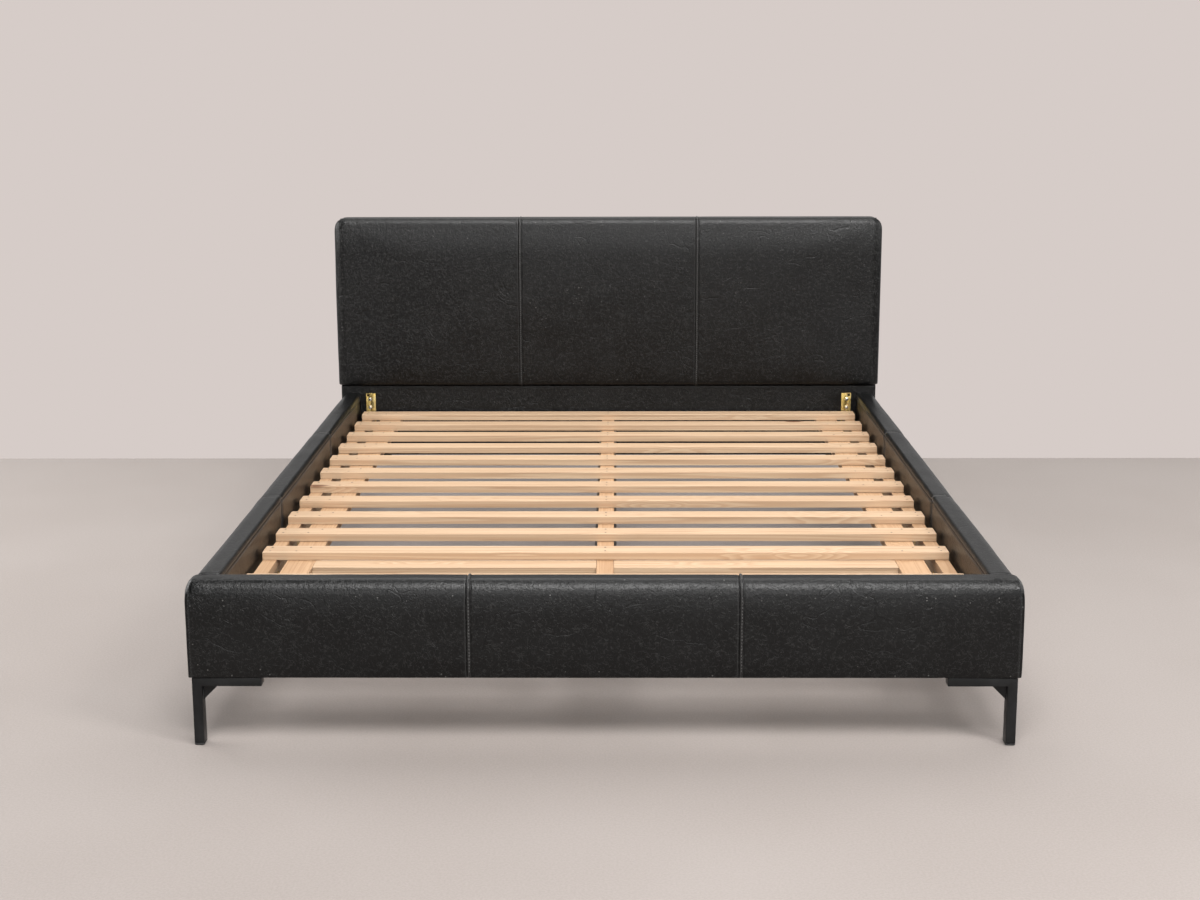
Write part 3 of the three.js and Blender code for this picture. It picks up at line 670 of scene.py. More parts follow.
def carried(coarse, moved, points):
    """The coarse skin's movement at each point of a finer one."""
    coarse.calc_loop_triangles()
    rest = [v.co.copy() for v in coarse.vertices]
    triangles = [tuple(t.vertices) for t in coarse.loop_triangles]
    tree = BVHTree.FromPolygons(rest, triangles)
    corner = np.array([[rest[i][:] for i in t] for t in triangles])
    moves = moved[np.array(triangles)]
    found = [tree.find_nearest(p) for p in points.tolist()]
    index = np.array([f[2] for f in found])
    place = np.array([f[0][:] for f in found])
    a, b, c = corner[index, 0], corner[index, 1], corner[index, 2]
    ab, ac, ap = b - a, c - a, place - a
    d00, d01, d11 = (ab * ab).sum(1), (ab * ac).sum(1), (ac * ac).sum(1)
    d20, d21 = (ap * ab).sum(1), (ap * ac).sum(1)
    below = np.maximum(d00 * d11 - d01 * d01, 1e-18)
    v = (d11 * d20 - d01 * d21) / below
    w = (d00 * d21 - d01 * d20) / below
    u = 1 - v - w
    return u[:, None] * moves[index, 0] + v[:, None] * moves[index, 1] + w[:, None] * moves[index, 2]


def evened(mesh, values, times):
    """Vertex values averaged with their neighbours' this many times, which hides the coarse skin's facets."""
    ends = np.array([e.vertices[:] for e in mesh.edges])
    here, there = np.concatenate([ends, ends[:, ::-1]]).T
    count = np.bincount(here, minlength=len(values))
    for _ in range(times):
        total = [np.bincount(here, values[there, axis], len(values)) for axis in range(3)]
        values = 0.5 * values + 0.5 * np.stack(total, axis=1) / count[:, None]
    return values


def cut_out(obj, boxes):
    """Takes boxes, each (low, high), out of a closed piece."""
    for low, high in boxes:
        shape = bmesh.new()
        bmesh.ops.create_cube(shape, size=1)
        for v in shape.verts:
            v.co = Vector([low[i] + (v.co[i] + 0.5) * (high[i] - low[i]) for i in range(3)])
        mesh = bpy.data.meshes.new("cutter")
        shape.to_mesh(mesh)
        shape.free()
        cutter = new_object("cutter", mesh)
        boolean = obj.modifiers.new("cut", "BOOLEAN")
        boolean.operation = "DIFFERENCE"
        boolean.solver = "EXACT"
        boolean.object = cutter
        apply_modifiers(obj)
        bpy.data.objects.remove(cutter)


STITCH_LENGTH = 4.0 * MM
STITCH_PITCH = 6.6 * MM
STITCH_RADIUS = 0.75 * MM


def spindle(length, radius, shoulder=0.36):
    """A short closed rod along X with tapered ends, on a surface that faces +Z: a stitch or a staple."""
    sides = 6
    along = (-0.5, -shoulder, 0.0, shoulder, 0.5)
    thick = (0.0, 0.85, 1.0, 0.85, 0.0)
    points, faces = [], []
    for a, t in zip(along, thick):
        if t == 0.0:
            points.append((a * length, 0, -0.3 * radius))
            continue
        for s in range(sides):
            turn = 2 * math.pi * s / sides
            points.append((a * length, math.cos(turn) * t * radius, math.sin(turn) * t * radius))
    for s in range(sides):
        k = (s + 1) % sides
        faces.append((0, 1 + k, 1 + s))
        for r in range(2):
            a, b = 1 + r * sides + s, 1 + r * sides + k
            faces.append((a, b, b + sides, a + sides))
        faces.append((1 + 2 * sides + s, 1 + 2 * sides + k, 1 + 3 * sides))
    return np.array(points), faces


def turned(profile, sides=32, alter=None):
    """A closed turned head on a surface that faces +Z, from (radius, height) pairs, the outermost first.
    alter(turn, radius, height) may change a point, as for a hexagon or a cross recess."""
    points = [(0, 0, profile[0][1])]
    for radius, height in profile:
        for i in range(sides):
            turn = 2 * math.pi * i / sides
            r, h = alter(turn, radius, height) if alter else (radius, height)
            points.append((r * math.cos(turn), r * math.sin(turn), h))
    last = len(points)
    points.append((0, 0, min(p[2] for p in points[-sides:])))
    faces = []
    for i in range(sides):
        k = (i + 1) % sides
        faces.append((0, 1 + k, 1 + i))
        for r in range(len(profile) - 1):
            a, b = 1 + r * sides + i, 1 + r * sides + k
            faces.append((a, b, b + sides, a + sides))
        faces.append((last - sides + i, last - sides + k, last))
    return np.array(points), faces


def scatter(name, body, slot, material, template, places):
    """One piece of many copies: each place is a point, the template's +X direction and its +Z direction."""
    points, faces = template
    all_points, all_faces = [], []
    for place, way, normal in places:
        way, normal = Vector(way), Vector(normal)
        across = normal.cross(way).normalized()
        turn = np.array([across.cross(normal)[:], across[:], normal[:]])
        base = len(all_points) * len(points)
        all_points.append(points @ turn + np.array(place[:]))
        all_faces += [tuple(base + i for i in f) for f in faces]
    obj = new_object(name, mesh_from(name, np.concatenate(all_points), all_faces))
    smooth(obj, 35)
    return finish_piece(obj, body, slot, material)


def stitch_row(tree, start, end, lift=0.3 * MM):
    """Places and directions of stitches along a line, laid onto the leather's surface."""
    start, end = Vector(start), Vector(end)
    steps = max(2, int((end - start).length / (2 * MM)))
    laid = []
    for i in range(steps + 1):
        hit = tree.find_nearest(start.lerp(end, i / steps))
        laid.append((hit[0], hit[1]))
    places, travelled, due = [], 0.0, STITCH_PITCH / 2
    for (p, n), (q, m) in zip(laid, laid[1:]):
        stretch = (q - p).length
        while stretch > 1e-9 and travelled + stretch >= due:
            share = (due - travelled) / stretch
            normal = n.lerp(m, share).normalized()
            places.append((p.lerp(q, share) + normal * lift, (q - p).normalized(), normal))
            due += STITCH_PITCH
        travelled += stretch
    return places


def add_stitches(name, places, material=thread):
    scatter(name, "bed_frame", "black_leather", material, spindle(STITCH_LENGTH, STITCH_RADIUS), places)


def tree_of(obj):
    return BVHTree.FromObject(obj, bpy.context.evaluated_depsgraph_get())


# ---------------------------------------------------------------- what each seam does to the leather


SEAM_BAND = 3.6 * MM      # half the width of a lapped seam's raised band
SEAM_MIDDLE = 2.2 * MM    # the band's middle, to the right of the seam


def lapped(offset, rise=2.2 * MM, depth=1.7 * MM):
    """Height across a lapped seam: a groove, then the rounded band of the upper panel's folded, sewn edge."""
    across = np.clip(1 - ((offset - SEAM_MIDDLE) / SEAM_BAND) ** 2, 0, 1)
    left, right = offset - SEAM_MIDDLE + SEAM_BAND, offset - SEAM_MIDDLE - SEAM_BAND
    grooves = bell(left + 0.9 * MM, 1.2 * MM) + 0.4 * bell(right - 0.9 * MM, 1.2 * MM)
    return rise * across**0.6 - depth * grooves


def puckers(points, distance, direction_scale, seed, reach=26 * MM, height=0.9 * MM):
    """Short gathers that run away from a seam."""
    away = np.exp(-np.abs(distance) / reach) * (1 - bell(distance, 6 * MM))
    return height * away * noise(points, direction_scale, seed)


def hide_unevenness(points, seed):
    """The slow unevenness of leather over foam."""
    return 0.8 * MM * noise(points, 5, seed) + 0.35 * MM * noise(points, 14, seed + 1)


def leaned(p, front, low, high, depth, reach):
    """How far a crowned front face falls back: most below its top edge, less above its bottom edge."""
    on_front = np.clip(1 - (p[:, 1] - front) / (28 * MM), 0, 1)
    upper = rising(p[:, 2] - (high - reach), reach)
    lower = rising(low + 0.6 * reach - p[:, 2], 0.6 * reach)
    return depth * on_front * (upper**2 + 0.3 * lower**2)


def wear_and_highlight_along(offset):
    """Wear and painted highlight on a lapped seam's raised band and, to its left, beyond the groove."""
    band = 0.9 * bell(offset - 0.6 * MM, 1.2 * MM) + 0.3 * bell(offset - 4 * MM, 1.6 * MM)
    return band + 0.4 * bell(offset + 5 * MM, 1.4 * MM)


def upholster(name, low, high, along, shape, slack, held, details, most, pressure, seed, lean=None):
    """Builds a padded piece: swells a coarse skin, carries that to a fine one, then presses in its seams.
    slack is how much smaller each side starts: low corner and high corner."""
    low = np.array(low) + slack[0]
    high = np.array(high) - slack[1]
    fine = block(name, low, high, along, **shape)
    rest = points_of(fine)
    loose = dict(shape)
    loose["step"] = 15 * MM
    loose["side_steps"] = tuple(max(s, 12 * MM) for s in shape["side_steps"])
    loose["seams"] = ()
    loose["side_seams"] = None
    loose["arc_steps"] = (2, 4, 3, 2)
    coarse = block(name + "_coarse", low, high, along, **loose)
    shares = held(points_of(coarse))
    moved = carried(coarse, swollen(coarse.copy(), shares, most, pressure), rest)
    moved = evened(fine, moved, 10) * rising(1 - held(rest), 0.1)[:, None]
    swelled = rest + moved
    if lean:
        swelled[:, 1] += leaned(rest, low[1], low[2], high[2], *lean)
    set_points(fine, swelled)
    height, wear_and_highlight = details(rest, seed)
    set_points(fine, swelled + normals_of(fine) * height[:, None])
    obj = new_object(name, fine)
    # The leather's lighter marks along seams and edges: partly wear, partly painted highlight.
    number_attribute(obj, "wear_and_highlight", wear_and_highlight)
    return obj


def finish_leather(obj, hollows, node):
    """Makes room for the boards inside a padded piece and covers it in leather."""
    cut_out(obj, hollows)
    smooth(obj, 50)
    finish_piece(obj, "bed_frame", "black_leather", leather, node)


# ---------------------------------------------------------------- headboard


def from_nearest(x, seams):
    """Each point's offset from its nearest seam."""
    offsets = np.stack([x - s for s in seams])
    return offsets[np.abs(offsets).argmin(axis=0), np.arange(len(x))]


def near_any(x, seams):
    return np.abs(from_nearest(x, seams))


def headboard_held(p):
    seam = 0.5 * bell(near_any(p[:, 0], (-SEAM_X, SEAM_X)), 8 * MM)
    back = rising(p[:, 1] - (cushion_high.y - 45 * MM), 25 * MM)
    bottom = rising(cushion_low.z + 14 * MM - p[:, 2], 10 * MM)
    sides = 0.6 * (np.abs(p[:, 0]) > HALF_WIDTH - 4 * MM)
    return np.clip(np.max([seam, back, bottom, sides], axis=0), 0, 1)


def headboard_details(p, seed):
    distance = from_nearest(p[:, 0], (-SEAM_X, SEAM_X))
    shown = rising(cushion_high.y - 10 * MM - p[:, 1], 8 * MM)
    height = lapped(distance, rise=1.8 * MM, depth=2.2 * MM)
    height += puckers(p, distance, (14, 60, 75), seed)
    height += hide_unevenness(p, seed + 5)
    # Lighter seam bands: partly wear, partly painted highlight.
    return height * shown, wear_and_highlight_along(distance) * shown


def add_headboard_cushion():
    shape = dict(
        radii=(12 * MM, 17 * MM, 12 * MM, 3 * MM), end_radii=(30 * MM, 34 * MM, 8 * MM, 1 * MM),
        step=6 * MM, side_steps=(6 * MM, 5 * MM, 14 * MM, 14 * MM), seams=(-SEAM_X, SEAM_X), cap_rings=7,
    )
    slack = (np.array([-5 * MM, 5 * MM, 0]), np.array([-5 * MM, 0, 0.6 * MM]))
    obj = upholster("leather_headboard_cushion", cushion_low, cushion_high, 0, shape, slack,
                    headboard_held, headboard_details, most=5 * MM, pressure=4.0, seed=11,
                    lean=(14 * MM, 110 * MM))
    tree = tree_of(obj)
    rows = []
    face, top = cushion_low.y - CLEAR, cushion_high.z
    for s in (-SEAM_X, SEAM_X):
        x = s + 2.4 * MM
        rows += stitch_row(tree, (x, face, cushion_low.z + 10 * MM), (x, face, top - 10 * MM))
        rows += stitch_row(tree, (x, cushion_low.y, top + CLEAR), (x, cushion_high.y - 12 * MM, top + CLEAR))
    add_stitches("stitches_headboard", rows)
    pocket = (Vector((face_board_low.x - GAP, face_board_low.y - GAP, cushion_low.z - CLEAR)),
              Vector((face_board_high.x + GAP, cushion_high.y + CLEAR, face_board_high.z + GAP)))
    recess = (Vector((back_cover_low.x - GAP, back_cover_low.y - GAP, back_cover_low.z)),
              Vector((back_cover_high.x + GAP, back_cover_high.y + CLEAR, back_cover_high.z + GAP)))
    finish_leather(obj, [pocket, recess], "headboard_cushion")


def panel_held(p):
    back = rising(p[:, 1] - (panel_high.y - 35 * MM), 20 * MM)
    top = rising(p[:, 2] - (panel_high.z - 12 * MM), 8 * MM)
    bottom = rising(panel_low.z + 12 * MM - p[:, 2], 8 * MM)
    rails = (np.abs(p[:, 0]) > rail_low.x - 12 * MM) * (p[:, 1] < panel_low.y + 12 * MM)
    return np.clip(np.max([back, top, bottom, rails.astype(float)], axis=0), 0, 1)


def panel_details(p, seed):
    flat = (np.abs(p[:, 0]) < rail_low.x - 4 * MM) | (p[:, 1] > panel_low.y + 14 * MM)
    return 0.4 * hide_unevenness(p, seed) * flat, np.zeros(len(p))


def bolt_bores():
    """Clearance for the bracket bolts, through the lower panel."""
    boxes = []
    for name, _ in SIDES:
        for level in ("upper", "lower"):
            low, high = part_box(f"head_bracket_bolt_{name}_{level}")
            middle = (low + high) / 2
            boxes.append((Vector((middle.x - 3.3 * MM, panel_low.y - 0.01, middle.z - 3.3 * MM)),
                          Vector((middle.x + 3.3 * MM, face_board_low.y + 0.01, middle.z + 3.3 * MM))))
    return boxes


def add_lower_panel():
    shape = dict(
        radii=(4 * MM, 7 * MM, 2 * MM, 3 * MM), end_radii=(5 * MM, 2 * MM, 5 * MM, 3 * MM),
        step=14 * MM, side_steps=(8 * MM, 8 * MM, 14 * MM, 14 * MM), cap_rings=5,
    )
    slack = (np.array([1 * MM, 1.6 * MM, 0]), np.array([1 * MM, 0, 0]))
    obj = upholster("leather_lower_panel", panel_low, panel_high, 0, shape, slack,
                    panel_held, panel_details, most=1.6 * MM, pressure=2.0, seed=23)
    pocket = (Vector((face_board_low.x - GAP, face_board_low.y - GAP, face_board_low.z - GAP)),
              Vector((face_board_high.x + GAP, panel_high.y + CLEAR, panel_high.z + CLEAR)))
    recess = (Vector((back_cover_low.x - GAP, back_cover_low.y - GAP, back_cover_low.z - GAP)),
              Vector((back_cover_high.x + GAP, back_cover_high.y + CLEAR, panel_high.z + CLEAR)))
    finish_leather(obj, [pocket, recess] + bolt_bores(), "headboard_lower_panel")


# ---------------------------------------------------------------- side rails and foot rail


def rail_held(p):
    """Held at its hem, its joints and its seams. p's x is measured on the right-hand rail."""
    hem = rising(rail_low.z + 16 * MM - p[:, 2], 10 * MM)
    ends = np.clip(1 - np.minimum(p[:, 1] - rail_low.y, rail_high.y - p[:, 1]) / (9 * MM), 0, 1)
    seam = bell(near_any(p[:, 1], RAIL_SEAMS), 8 * MM)
    x = np.abs(p[:, 0])
    piping = bell(p[:, 2] - (rail_high.z - RAIL_PIPING_DROP), 5 * MM) * (x < rail_low.x + 12 * MM)
    return np.clip(np.max([hem, ends, seam, 0.8 * piping], axis=0), 0, 1)


def rail_details(p, seed):
    x = np.abs(p[:, 0])
    distance = near_any(p[:, 1], RAIL_SEAMS)
    inside = rising(rail_low.x + 9 * MM - x, 5 * MM)
    drop = p[:, 2] - (rail_high.z - RAIL_PIPING_DROP)
    height = -3.0 * MM * bell(distance, 2.0 * MM) - 1.4 * MM * bell(distance, 13 * MM)
    height += puckers(p, distance, (55, 14, 55), seed, reach=42 * MM, height=2.2 * MM)
    height += inside * 1.0 * MM * bell(drop - 2.6 * MM, 1.9 * MM)
    height -= inside * 1.5 * MM * bell(drop + 1.2 * MM, 1.6 * MM)
    joint = np.minimum(p[:, 1] - rail_low.y, rail_high.y - p[:, 1])
    height += puckers(p, joint, (60, 16, 60), seed + 4, reach=40 * MM, height=1.2 * MM)
    lip = bell(p[:, 1] - rail_low.y - 9 * MM, 3.4 * MM) * (p[:, 2] > rail_high.z - 9 * MM)
    height += 2.2 * MM * lip * bell(x - (rail_low.x + rail_high.x) / 2, 24 * MM)
    height += hide_unevenness(p, seed + 6) * 1.2
    height *= rising(p[:, 2] - rail_low.z - 1 * MM, 6 * MM)
    height *= rising(joint, 4 * MM)
    # Lighter seam bands and piping line: partly wear, partly painted highlight.
    wear_and_highlight = 0.7 * bell(distance - 3.4 * MM, 1.8 * MM) + inside * 0.7 * bell(drop - 2.6 * MM, 1.8 * MM)
    return height, wear_and_highlight


def add_side_rail(name, side):
    low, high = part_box("side_rail_cover_" + name)
    outer, inner = 28 * MM, 8 * MM
    top_radii = (inner, outer) if side > 0 else (outer, inner)
    seam_height = rail_high.z - RAIL_PIPING_DROP
    side_seams = ((seam_height,), (), (), ()) if side > 0 else ((), (), (seam_height,), ())
    ends = 3 * MM
    shape = dict(
        radii=(2.5 * MM, *top_radii, 2.5 * MM), end_radii=(ends, ends, ends, 1 * MM), step=6 * MM,
        side_steps=(6 * MM, 4 * MM, 6 * MM, 8 * MM), seams=RAIL_SEAMS, side_seams=side_seams,
        arc_steps=(3, 9, 9, 3), cap_rings=3,
    )
    swell = 3 * MM
    slack = (np.array([swell, 0, 0]), np.array([swell, 0, 0.6 * MM]))
    obj = upholster("leather_side_rail_" + name, low, high, 1, shape, slack,
                    rail_held, rail_details, most=swell, pressure=3.0, seed=31 if side > 0 else 47)
    tree = tree_of(obj)
    rows = []
    inner_x, outer_x = side * (rail_low.x - CLEAR), side * (rail_high.x + CLEAR)
    below = seam_height - 4.5 * MM
    rows += stitch_row(tree, (inner_x, low.y + 10 * MM, below), (inner_x, high.y - 10 * MM, below))
    bottom, top = rail_low.z + 20 * MM, rail_high.z + CLEAR
    for seam in RAIL_SEAMS:
        for offset in (-6 * MM, 6 * MM):
            y = seam + offset
            rows += stitch_row(tree, (inner_x, y, bottom), (inner_x, y, rail_high.z - 10 * MM))
            rows += stitch_row(tree, (side * (rail_low.x + 10 * MM), y, top),
                               (side * (rail_high.x - 20 * MM), y, top))
            rows += stitch_row(tree, (outer_x, y, rail_high.z - 20 * MM), (outer_x, y, bottom))
    add_stitches("stitches_side_rail_" + name, rows)
    slot_low, slot_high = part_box("side_rail_board_" + name)
    slot = (Vector((slot_low.x - GAP, low.y - CLEAR, low.z - CLEAR)),
            Vector((slot_high.x + GAP, high.y + CLEAR, slot_high.z + GAP)))
    finish_leather(obj, [slot], "side_rail_cover_" + name)


def foot_held(p):
    hem = rising(foot_low.z + 16 * MM - p[:, 2], 10 * MM)
    seam = 0.3 * bell(near_any(p[:, 0], (-SEAM_X, SEAM_X)), 8 * MM)
    joint = rising(p[:, 1] - foot_high.y + 12 * MM, 8 * MM)
    joint *= np.abs(p[:, 0]) > rail_low.x - 8 * MM
    edge = 0.8 * bell(HALF_WIDTH - np.abs(p[:, 0]) - 5 * MM, 5 * MM) * (p[:, 1] < foot_low.y + 30 * MM)
    return np.clip(np.max([hem, seam, joint, edge], axis=0), 0, 1)


def corner_folds(p, seed):
    """The leather gathers where the foot rail's top turns down at each end: a fold and fine creases."""
    inward = HALF_WIDTH - np.abs(p[:, 0])
    back = p[:, 1] - foot_low.y
    arc = back - 22 * MM - 9 * MM * np.cos((inward - 52 * MM) / (34 * MM))
    along_fold = bell(inward - 55 * MM, 26 * MM) * (p[:, 2] > foot_high.z - 26 * MM)
    fold = -1.5 * MM * bell(arc, 2.6 * MM) + 1.1 * MM * bell(arc + 4.6 * MM, 3.2 * MM)
    second = back - 40 * MM - 6 * MM * np.sin(inward / (17 * MM))
    crease = -0.9 * MM * bell(second, 2.2 * MM) * bell(inward - 44 * MM, 22 * MM)
    fine = 0.5 * MM * noise(p, (70, 45, 45), seed) * bell(inward - 36 * MM, 30 * MM)
    return fold * along_fold + (crease + fine) * (p[:, 2] > foot_high.z - 30 * MM)


def foot_details(p, seed):
    distance = from_nearest(p[:, 0], (-SEAM_X, SEAM_X))
    edge = HALF_WIDTH - np.abs(p[:, 0]) - 5 * MM
    front = p[:, 1] < foot_low.y + 34 * MM
    height = lapped(distance)
    height += puckers(p, distance, (16, 70, 70), seed)
    height -= front * 2.2 * MM * bell(edge, 1.5 * MM)
    height += front * puckers(p, edge, (16, 60, 60), seed + 2, reach=16 * MM, height=0.5 * MM)
    height += corner_folds(p, seed + 8)
    height += hide_unevenness(p, seed + 4)
    touching = (np.abs(p[:, 0]) > rail_low.x - 2 * MM) & (p[:, 1] > foot_high.y - 4 * MM)
    height *= rising(p[:, 2] - foot_low.z - 1 * MM, 6 * MM) * ~touching
    # Lighter seam bands and a lighter line beside each end seam: partly wear, partly painted highlight.
    wear_and_highlight = wear_and_highlight_along(distance) + 0.5 * front * bell(edge - 3.4 * MM, 1.4 * MM)
    return height, wear_and_highlight


def add_foot_rail():
    shape = dict(
        radii=(3 * MM, 28 * MM, 8 * MM, 2.5 * MM), end_radii=(5 * MM, 19 * MM, 2 * MM, 1 * MM), step=6 * MM,
        side_steps=(5 * MM, 4 * MM, 6 * MM, 8 * MM), seams=(-SEAM_X, SEAM_X), arc_steps=(3, 10, 4, 3),
        cap_rings=6,
    )
    swell = 3 * MM
    slack = (np.array([swell * 0.5, swell, 0]), np.array([swell * 0.5, 0, -1.2 * MM]))
    obj = upholster("leather_foot_rail", foot_low, foot_high, 0, shape, slack,
                    foot_held, foot_details, most=swell, pressure=3.0, seed=61, lean=(7 * MM, 80 * MM))
    tree = tree_of(obj)
    rows = []
    face, top = foot_low.y - CLEAR, foot_high.z + CLEAR
    low_end, high_end = foot_low.z + 10 * MM, foot_high.z - 20 * MM
    for s in (-SEAM_X, SEAM_X):
        for offset in (0.6 * MM, 4.4 * MM):
            x = s + offset
            rows += stitch_row(tree, (x, face, low_end), (x, face, high_end))
            rows += stitch_row(tree, (x, foot_low.y + 12 * MM, top), (x, foot_high.y - 8 * MM, top))
    add_stitches("stitches_foot_rail", rows)
    ends = []
    for side in (-1, 1):
        x = side * (HALF_WIDTH - 5 * MM)
        ends += stitch_row(tree, (x, face, low_end), (x, face, high_end))
    add_stitches("stitches_foot_rail_ends", ends, dark_thread)
    slot = (Vector((foot_board_low.x - GAP, foot_board_low.y - GAP, foot_low.z - CLEAR)),
            Vector((foot_board_high.x + GAP, foot_board_high.y + GAP, foot_board_high.z + GAP)))
    finish_leather(obj, [slot], "foot_rail_cover")


add_headboard_cushion()
add_lower_panel()
for side_name, side_sign in SIDES:
    add_side_rail(side_name, side_sign)
add_foot_rail()

# ---------------------------------------------------------------- timber


def plank(node, along, edge, material, slot, body, seed, warp=0.4 * MM, crown=0.0):
    """A board with eased edges and a trace of warp, in the place of a CAD node."""
    low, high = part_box(node)
    size = high - low
    cross = 1 - along
    sides = (size[2] / 2, size[cross] / 10, size[2] / 2, size[cross] / 4)
    mesh = block(node + "_wood", low, high, along, step=60 * MM, side_steps=sides,
                 radii=(edge * 0.6, edge, edge, edge * 0.6), end_radii=(edge * 0.5,) * 4,
                 arc_steps=(2, 4, 4, 2), cap_rings=2)
    points = points_of(mesh)
    share = (points[:, cross] - (low[cross] + high[cross]) / 2) / (size[cross] / 2)
    points[:, 2] -= crown * share**2 * (points[:, 2] - low.z) / size.z
    stretch = [12.0, 12.0, 12.0]
    stretch[along] = 2.0
    inside = np.minimum(points - np.array(low), np.array(high) - points).min(axis=1)
    move = warp * (noise(points, stretch, seed) - 1) * (inside < 1e-4)
    set_points(mesh, points + normals_of(mesh) * move[:, None])
    obj = new_object("wood_" + node, mesh)
    number_attribute(obj, "grain_seed", seed * 0.731)
    smooth(obj, 40)
    return finish_piece(obj, body, slot, material, node)


def add_timber():
    for i, node in enumerate(SLATS):
        plank(node, 0, 1.9 * MM, slat_pine, "slat_pine", "slat_base", seed=101 + i, warp=0.3 * MM,
              crown=0.3 * MM)
    # The strips and runners take the darker pine copy: painted shade under the slats.
    for node in ("slat_strip_left", "slat_strip_right", "slat_runner_left", "slat_runner_right",
                 "slat_runner_centre"):
        plank(node, 1, 1.5 * MM, batten_pine_painted_shade, "slat_pine", "slat_base", seed=120 + len(node))
    for node in ("cross_rail_left", "cross_rail_right"):
        plank(node, 0, 1.5 * MM, slat_pine, "slat_pine", "slat_base", seed=140 + len(node))
    for node in ("side_ledge_left", "side_ledge_right", "side_rail_board_left", "side_rail_board_right"):
        plank(node, 1, 1.5 * MM, board_pine_y, "frame_pine", "bed_frame", seed=150 + len(node))
    for node in ("foot_rail_board", "headboard_top_rail", "headboard_middle_rail", "headboard_bottom_rail"):
        plank(node, 0, 1.5 * MM, board_pine_x, "frame_pine", "bed_frame", seed=180 + len(node))


add_timber()

# ---------------------------------------------------------------- boards and steel kept to their CAD shape


def refined(node, slot, material, bevel=1.2 * MM, seed=0, body="bed_frame"):
    """A CAD node's own shape with its edges eased."""
    def merge_flat_faces(shape):
        bmesh.ops.remove_doubles(shape, verts=shape.verts, dist=0.01 * MM)
        bmesh.ops.dissolve_limit(shape, angle_limit=math.radians(1), verts=shape.verts, edges=shape.edges)

    mesh = frame["nodes"][node].data.copy()
    changed(mesh, merge_flat_faces)
    obj = new_object("fine_" + node, mesh)
    easing = obj.modifiers.new("easing", "BEVEL")
    easing.width = bevel
    easing.segments = 3
    easing.limit_method = "ANGLE"
    easing.angle_limit = math.radians(40)
    apply_modifiers(obj)
    number_attribute(obj, "grain_seed", seed * 0.731)
    smooth(obj, 40)
    return finish_piece(obj, body, slot, material, node)


def add_boards_and_steel():
    refined("headboard_face_board", "plywood", plywood, bevel=0.6 * MM)
    for name, _ in SIDES:
        refined("headboard_stile_" + name, "frame_pine", board_pine_z, seed=7)
        for end in ("front", "rear"):
            refined(f"{end}_leg_{name}", "black_steel", black_steel, bevel=1.6 * MM)
            refined(f"{end}_glide_{name}", "black_plastic", black_plastic, bevel=0.8 * MM)
        refined("head_bracket_" + name, "yellow_zinc", yellow_zinc, bevel=0.7 * MM)
        refined("foot_bracket_" + name, "yellow_zinc", yellow_zinc, bevel=0.7 * MM)
        for level in ("upper", "lower"):
            bolt = f"head_bracket_bolt_{name}_{level}"
            refined(bolt, "bright_zinc", bright_zinc, bevel=0.5 * MM)
    refined("centre_beam", "black_steel", black_steel, bevel=0.6 * MM)
    for end in ("head", "foot"):
        refined("beam_hanger_" + end, "black_steel", black_steel, bevel=0.7 * MM)
    for i in (1, 2):
        refined(f"centre_leg_{i}", "black_steel", black_steel, bevel=1.0 * MM)
        foot = f"levelling_foot_{i}"
        refined(foot, "black_plastic", black_plastic, bevel=0.5 * MM, body=foot)
    refined("headboard_back_cover", "black_fabric", dust_cover, bevel=0.5 * MM)


add_boards_and_steel()

# ---------------------------------------------------------------- nails, screws, staples and welds


def pan_head(radius, height):
    """A domed screw head with a cross recess."""
    def crossed(turn, r, h):
        arm = min(abs(math.sin(turn)), abs(math.cos(turn))) * r
        return (r, h - 0.55 * height) if r < 0.56 * radius and arm < 0.13 * radius else (r, h)

    shares = [(1.0, -0.2), (1.0, 0.3), (0.88, 0.72), (0.62, 0.97)]
    shares += [(r, 1.0) for r in (0.55, 0.4, 0.26, 0.12)]
    return turned([(a * radius, b * height) for a, b in shares], 32, crossed)


def nail_head(radius, height):
    profile = [(radius, -height), (radius, 0.5 * height), (0.85 * radius, height), (0.3 * radius, height)]
    return turned(profile, 12)


def socket_head(radius, height):
    """A low button head with a six-sided socket."""
    def hexed(turn, r, h):
        if r > 0.5 * radius:
            return r, h
        flat = math.cos(math.pi / 6) / math.cos(turn % (math.pi / 3) - math.pi / 6)
        return r * flat, h

    shares = ((1.0, -0.2), (1.0, 0.2), (0.85, 0.75), (0.6, 1.0), (0.5, 1.0), (0.49, -0.1), (0.2, -0.1))
    return turned([(a * radius, b * height) for a, b in shares], 24, hexed)


def spun(i):
    """The driver leaves each head turned a little differently."""
    return 0.7 + 1.9 * i


def facing(i, normal):
    """A direction in the surface that the head stands on, turned by its number."""
    normal = Vector(normal)
    return Matrix.Rotation(spun(i), 3, normal) @ normal.orthogonal().normalized()


def heads(name, body, slot, material, template, spots):
    """spots: each head's place and the way it faces."""
    scatter(name, body, slot, material, template, [(p, facing(i, n), n) for i, (p, n) in enumerate(spots)])


def add_slat_nails():
    spots = []
    for node in SLATS:
        low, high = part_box(node)
        middle = (low.y + high.y) / 2
        tree = tree_of(bpy.data.objects["wood_" + node])
        for batten in ("strip_left", "strip_right", "runner_left", "runner_right", "runner_centre"):
            batten_low, batten_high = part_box("slat_" + batten)
            skew = 14 * MM if batten in ("runner_left", "runner_right") else 0
            for step in (-15 * MM, 15 * MM):
                x = (batten_low.x + batten_high.x) / 2 + math.copysign(skew, step)
                hit = tree.ray_cast(Vector((x, middle + step, high.z + CLEAR)), Vector((0, 0, -1)))
                spots.append((hit[0], hit[1]))
    heads("nails_slats", "slat_base", "black_steel", black_steel, nail_head(2.3 * MM, 0.25 * MM), spots)


